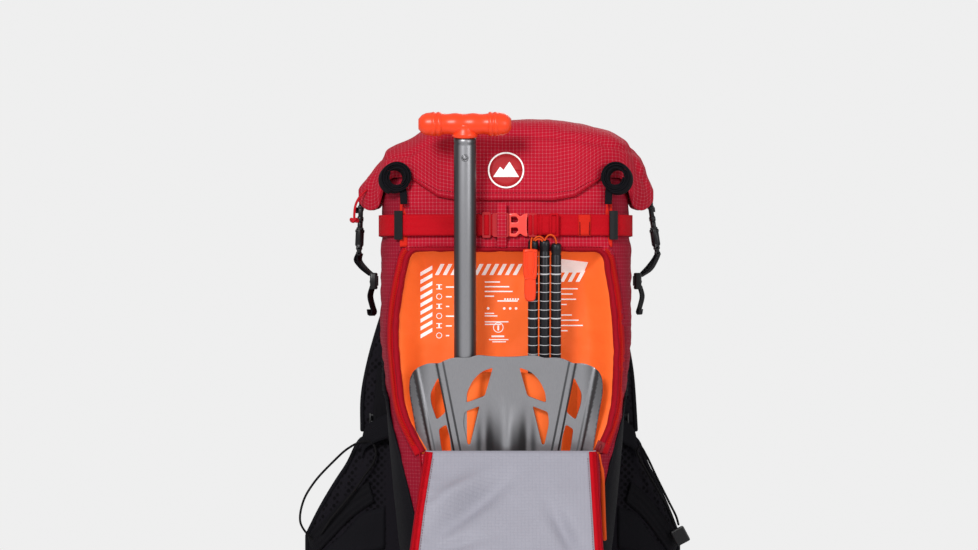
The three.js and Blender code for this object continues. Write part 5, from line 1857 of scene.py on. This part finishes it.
def shoulder_end(side, sign, end):
    """The ladder lock on the pack's side of a strap's end and the gusset that joins it to the pack."""
    at = end + [0, -6, 11]
    lock = [block((3.2, 3.6, 22), 1, at + [x, 0, 0]) for x in (-13, 13)]
    lock += [block((26, 3.4, 3.4), 1, at + [0, 0, z]) for z in (-8, 0, 8)]
    piece(f"shoulder_ladder_lock_{side}", together(lock), "black_plastic", f"shoulder_{side}")
    anchor = np.array([sign * 117, 89, 236])
    route = smooth_path([anchor, anchor * 0.62 + at * 0.38 + [sign * 4, 0, 1], anchor * 0.3 + at * 0.7, at],
                        3)
    share = np.linspace(0, 1, len(route))
    span = np.outer(1 - share, [0, 0, 46]) + np.outer(share, [24, 0, 12])
    band = piece(f"shoulder_lower_webbing_{side}", ribbon(route, span), "black_webbing", thick=1.5)
    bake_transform(band)
    tail = smooth_path([at + [0, -2.6, -4], at + [0, -2.4, 16], at + [-sign * 2, 0.5, 40],
                        at + [-sign * 5, 5.5, 66]], 4)
    piece(f"shoulder_webbing_tail_{side}", ribbon(tail, (18.5, 0, 0)), "black_webbing", f"shoulder_{side}",
          thick=1.3)


def sternum_strap(side, sign):
    y, z, foot = 193, 347, sign * 118
    inward = -sign
    clip = [block((4, 3, 18), 1, (foot + dx, y - 0.5, z)) for dx in (-10, 10)]
    clip += [block((22, 3, 4), 1, (foot, y - 0.5, z + dz)) for dz in (-7, 7)]
    clip.append(block((3, 4, 16), 1, (foot + inward * 3, y - 0.5, z)))
    tip = foot + inward * 98
    if sign < 0:
        clip += [block((14, 4.6, 20), 1.6, (tip - inward * 3, y, z)),
                 block((3, 4, 16), 1, (foot + inward * 104, y, z))]
    else:
        clip += [block((9, 4.6, 19), 1.6, (tip - inward * 5, y, z))]
        clip += [block((9, 2.4, 3), 0.8, (tip + inward * 3, y, z + dz)) for dz in (-6.5, 0, 6.5)]
    piece(f"sternum_buckle_{side}", together(clip), "black_plastic", f"sternum_{side}",
          f"sternum_strap_{side}")
    route = smooth_path([[foot + inward * 2, y + 0.8, z], [foot + inward * 30, y + 0.2, z - 1.5],
                         [foot + inward * 64, y + 0.2, z - 1.5], [foot + inward * 93, y, z]], 3)
    piece(f"sternum_webbing_{side}", ribbon(route, (0, 0, 14)), "black_webbing", f"sternum_{side}", thick=1.4)


# Hip wing stops: share of its reach, middle y, bottom and top.
WING = np.array([
    [0, 113, 22, 190], [0.2, 114, 16, 204], [0.36, 117, 11, 204], [0.54, 121.5, 8, 199],
    [0.62, 124.5, 8, 176], [0.74, 130, 8, 150], [0.9, 138, 14, 112], [1, 144, 26, 84],
], float)
WING_ROOT = 106
WING_REACH = {"left": 245, "right": 214}


def wing_at(side, share):
    """The wing's x, middle y, bottom and top at a share of its reach."""
    y, low, high = table_at(share, WING)
    return WING_ROOT + share * (WING_REACH[side] - WING_ROOT), y, low, high


def hip_belt():
    """Each wing's pad, binding, tab, stabiliser band, webbing and buckle."""
    for side, sign in SIDES:
        body = f"hip_{side}"
        rings, top, bottom = [], [], []
        for share in np.linspace(0, 1, 40):
            x, y, low, high = wing_at(side, share)
            close = 1 - 0.35 * ease(share, 0.93, 1)
            centre = np.array([x, y, (low + high) / 2])
            rings.append(oval_ring(centre, np.array([0, 0, 1]), np.array([0, 1, 0]), (high - low) / 2 + 1.6,
                                   5.2 * close, 44, 0.35))
            top.append([x, y, high - 1.5])
            bottom.append([x, y, low + 1.5])
        pad = puffed(loft(rings), 5.0, 4, 2.0)
        flip = mirror if sign < 0 else (lambda shape: shape)
        made = piece(f"hip_wing_pad_{side}", flip(pad), "mesh", body, f"hip_wing_{side}", subdivide=1)
        rim = np.array(top + bottom[::-1])
        piece(f"hip_wing_binding_{side}", flip(tube(resampled(rim, 4), 3.2, 10)), "black", body)
        cover_rows = []
        for share in np.linspace(0.30, 0.97, 24):
            x, y, low, high = wing_at(side, share)
            mid = low + (high - low) * (0.46 - 0.12 * share)
            wide = 52 - 30 * ease(share, 0.4, 1.0)
            cover_rows.append([[x, y - 7.0 - 0.5 * math.cos(math.pi * t), mid + wide * t]
                               for t in np.linspace(-0.5, 0.5, 9)])
        cover = np.array(cover_rows)
        place = stacked(cover[:, :1, 0], cover[..., 2])
        piece(f"hip_wing_tab_{side}", flip(grid(cover, place)), "black", body, thick=1.2)
        belt = []
        for share in (0.42, 0.62, 0.8, 0.93):
            x, y, low, high = wing_at(side, share)
            belt.append([x, y - 9.4, low + (high - low) * 0.66])
        belt.append([belt[-1][0] + 6, belt[-1][1] + 7, belt[-1][2] - 3])
        piece(f"hip_stabiliser_band_{side}", flip(ribbon(smooth_path(belt, 3), (7, 0, 25))), "black_webbing",
              body, thick=1.4)
        buckle_x = WING_REACH[side] - 6
        web = smooth_path([[buckle_x, 151, 48.5], [buckle_x + 0.4, 163, 48.5], [buckle_x, 182, 48.5]], 3)
        piece(f"hip_webbing_band_{side}", flip(ribbon(web, (0, 0, 24))), "black_webbing", body,
              f"hip_webbing_{side}", thick=1.5)
        dress("hip_buckle_male" if side == "left" else "hip_buckle_female", "black_plastic", 0.9)
        hip_joining_cloth(side, sign)


def hip_joining_cloth(side, sign):
    """The cloth that joins a wing to the pack: a strip down its root, and a gusset up to its top corner."""
    corner = WING_ROOT + 0.5 * (WING_REACH[side] - WING_ROOT)
    gusset = [[119, 88, 228], [139, 92, 222], [corner - 15, 100, 213], [corner - 3, 107, 204],
              [corner + 1, 110.5, 192]]
    root = [[99, 93, 106], [105, 100, 106], [108, 106, 106], [111, 110, 106]]
    for name, stops, first_width, last_width in (("gusset", gusset, 34, 25), ("root", root, 160, 162)):
        route = smooth_path(np.array(stops) * [sign, 1, 1], 2)
        span = np.linspace([0, 0, first_width], [0, 0, last_width], len(route))
        made = piece(f"hip_wing_{name}_{side}", ribbon(route, span), "stretch", thick=1.2)
        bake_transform(made)


def back_panel():
    """The padded back, with a channel down its middle and sewn channels across it."""
    corners = [[-98, 14, 20], [98, 14, 20], [112, 180, 30], [112, 420, 60], [84, 496, 40], [-84, 496, 40],
               [-112, 420, 60], [-112, 180, 30]]
    outline = rounded(corners, 4)

    def surface(x, z):
        flat = np.column_stack([x, z])
        edge = distance_to(flat, outline)
        crown = 15.2 * ease(edge, -3, 20) ** 0.7
        channel = 7.5 * hump(x, 0, 13) * ease(z, 40, 90) * ease(470 - z, 0, 40)
        for height in (150, 235, 320, 405):
            channel = channel + 2.6 * np.exp(-((z - height - 0.12 * np.abs(x)) / 5) ** 2)
        soft = 0.5 * noise(stacked(x, 0, z), 30, 61)
        padding = crown - channel * ease(edge, 4, 22) + soft * ease(edge, 4, 20)
        return stacked(x, 88.6 + np.maximum(0.4, padding), z)

    sheet = plate(outline, [], surface, 4.2)
    sheet.faces = [face[::-1] for face in sheet.faces]
    made = piece("back_panel_padding", sheet, "mesh", "pack", "back_panel", thick=0.8)
    rim = np.vstack([outline, outline[:1]])
    binding = tube(stacked(rim[:, 0], 89.6, rim[:, 1]), 2.0, 8, round_ends=False)
    piece("back_panel_binding", binding, "black", "pack")


def haul_loop():
    """The loop of webbing at the top of the back, and the tabs that hold it."""
    route = smooth_path([[-22, 91, 506], [-23, 104, 505], [-21, 110, 492], [-12, 110, 474], [12, 110, 474],
                         [21, 110, 492], [23, 104, 505], [22, 91, 506]], 2)
    share = np.linspace(0, 1, len(route))
    thick = 2.7 + 1.0 * ease(np.minimum(share, 1 - share), 0.05, 0.3)
    piece("haul_loop_webbing", tube(route, thick, 14), "black_webbing", "haul_loop", "haul_loop")
    tabs = [block((17, 2.2, 15), 1, (sign * 25, 89.8, 509)) for _, sign in SIDES]
    piece("haul_loop_tabs", together(tabs), "black_webbing", "pack")


# ---------------------------------------------------------------- the whole scene

add_camera()
free_cords()
add_studio()
shoulder_straps()
hip_belt()
bag_fabric()
panel_seams()
pocket_mouth()
pocket_lining()
lining_print()
front_flap()
zip_slider()
roll_top()
front_strap()
keepers_and_loops()
side_pockets()
base()
inner_frame()
shovel_shaft()
shovel_blade()
tool_sleeve()
probe()
back_panel()
haul_loop()
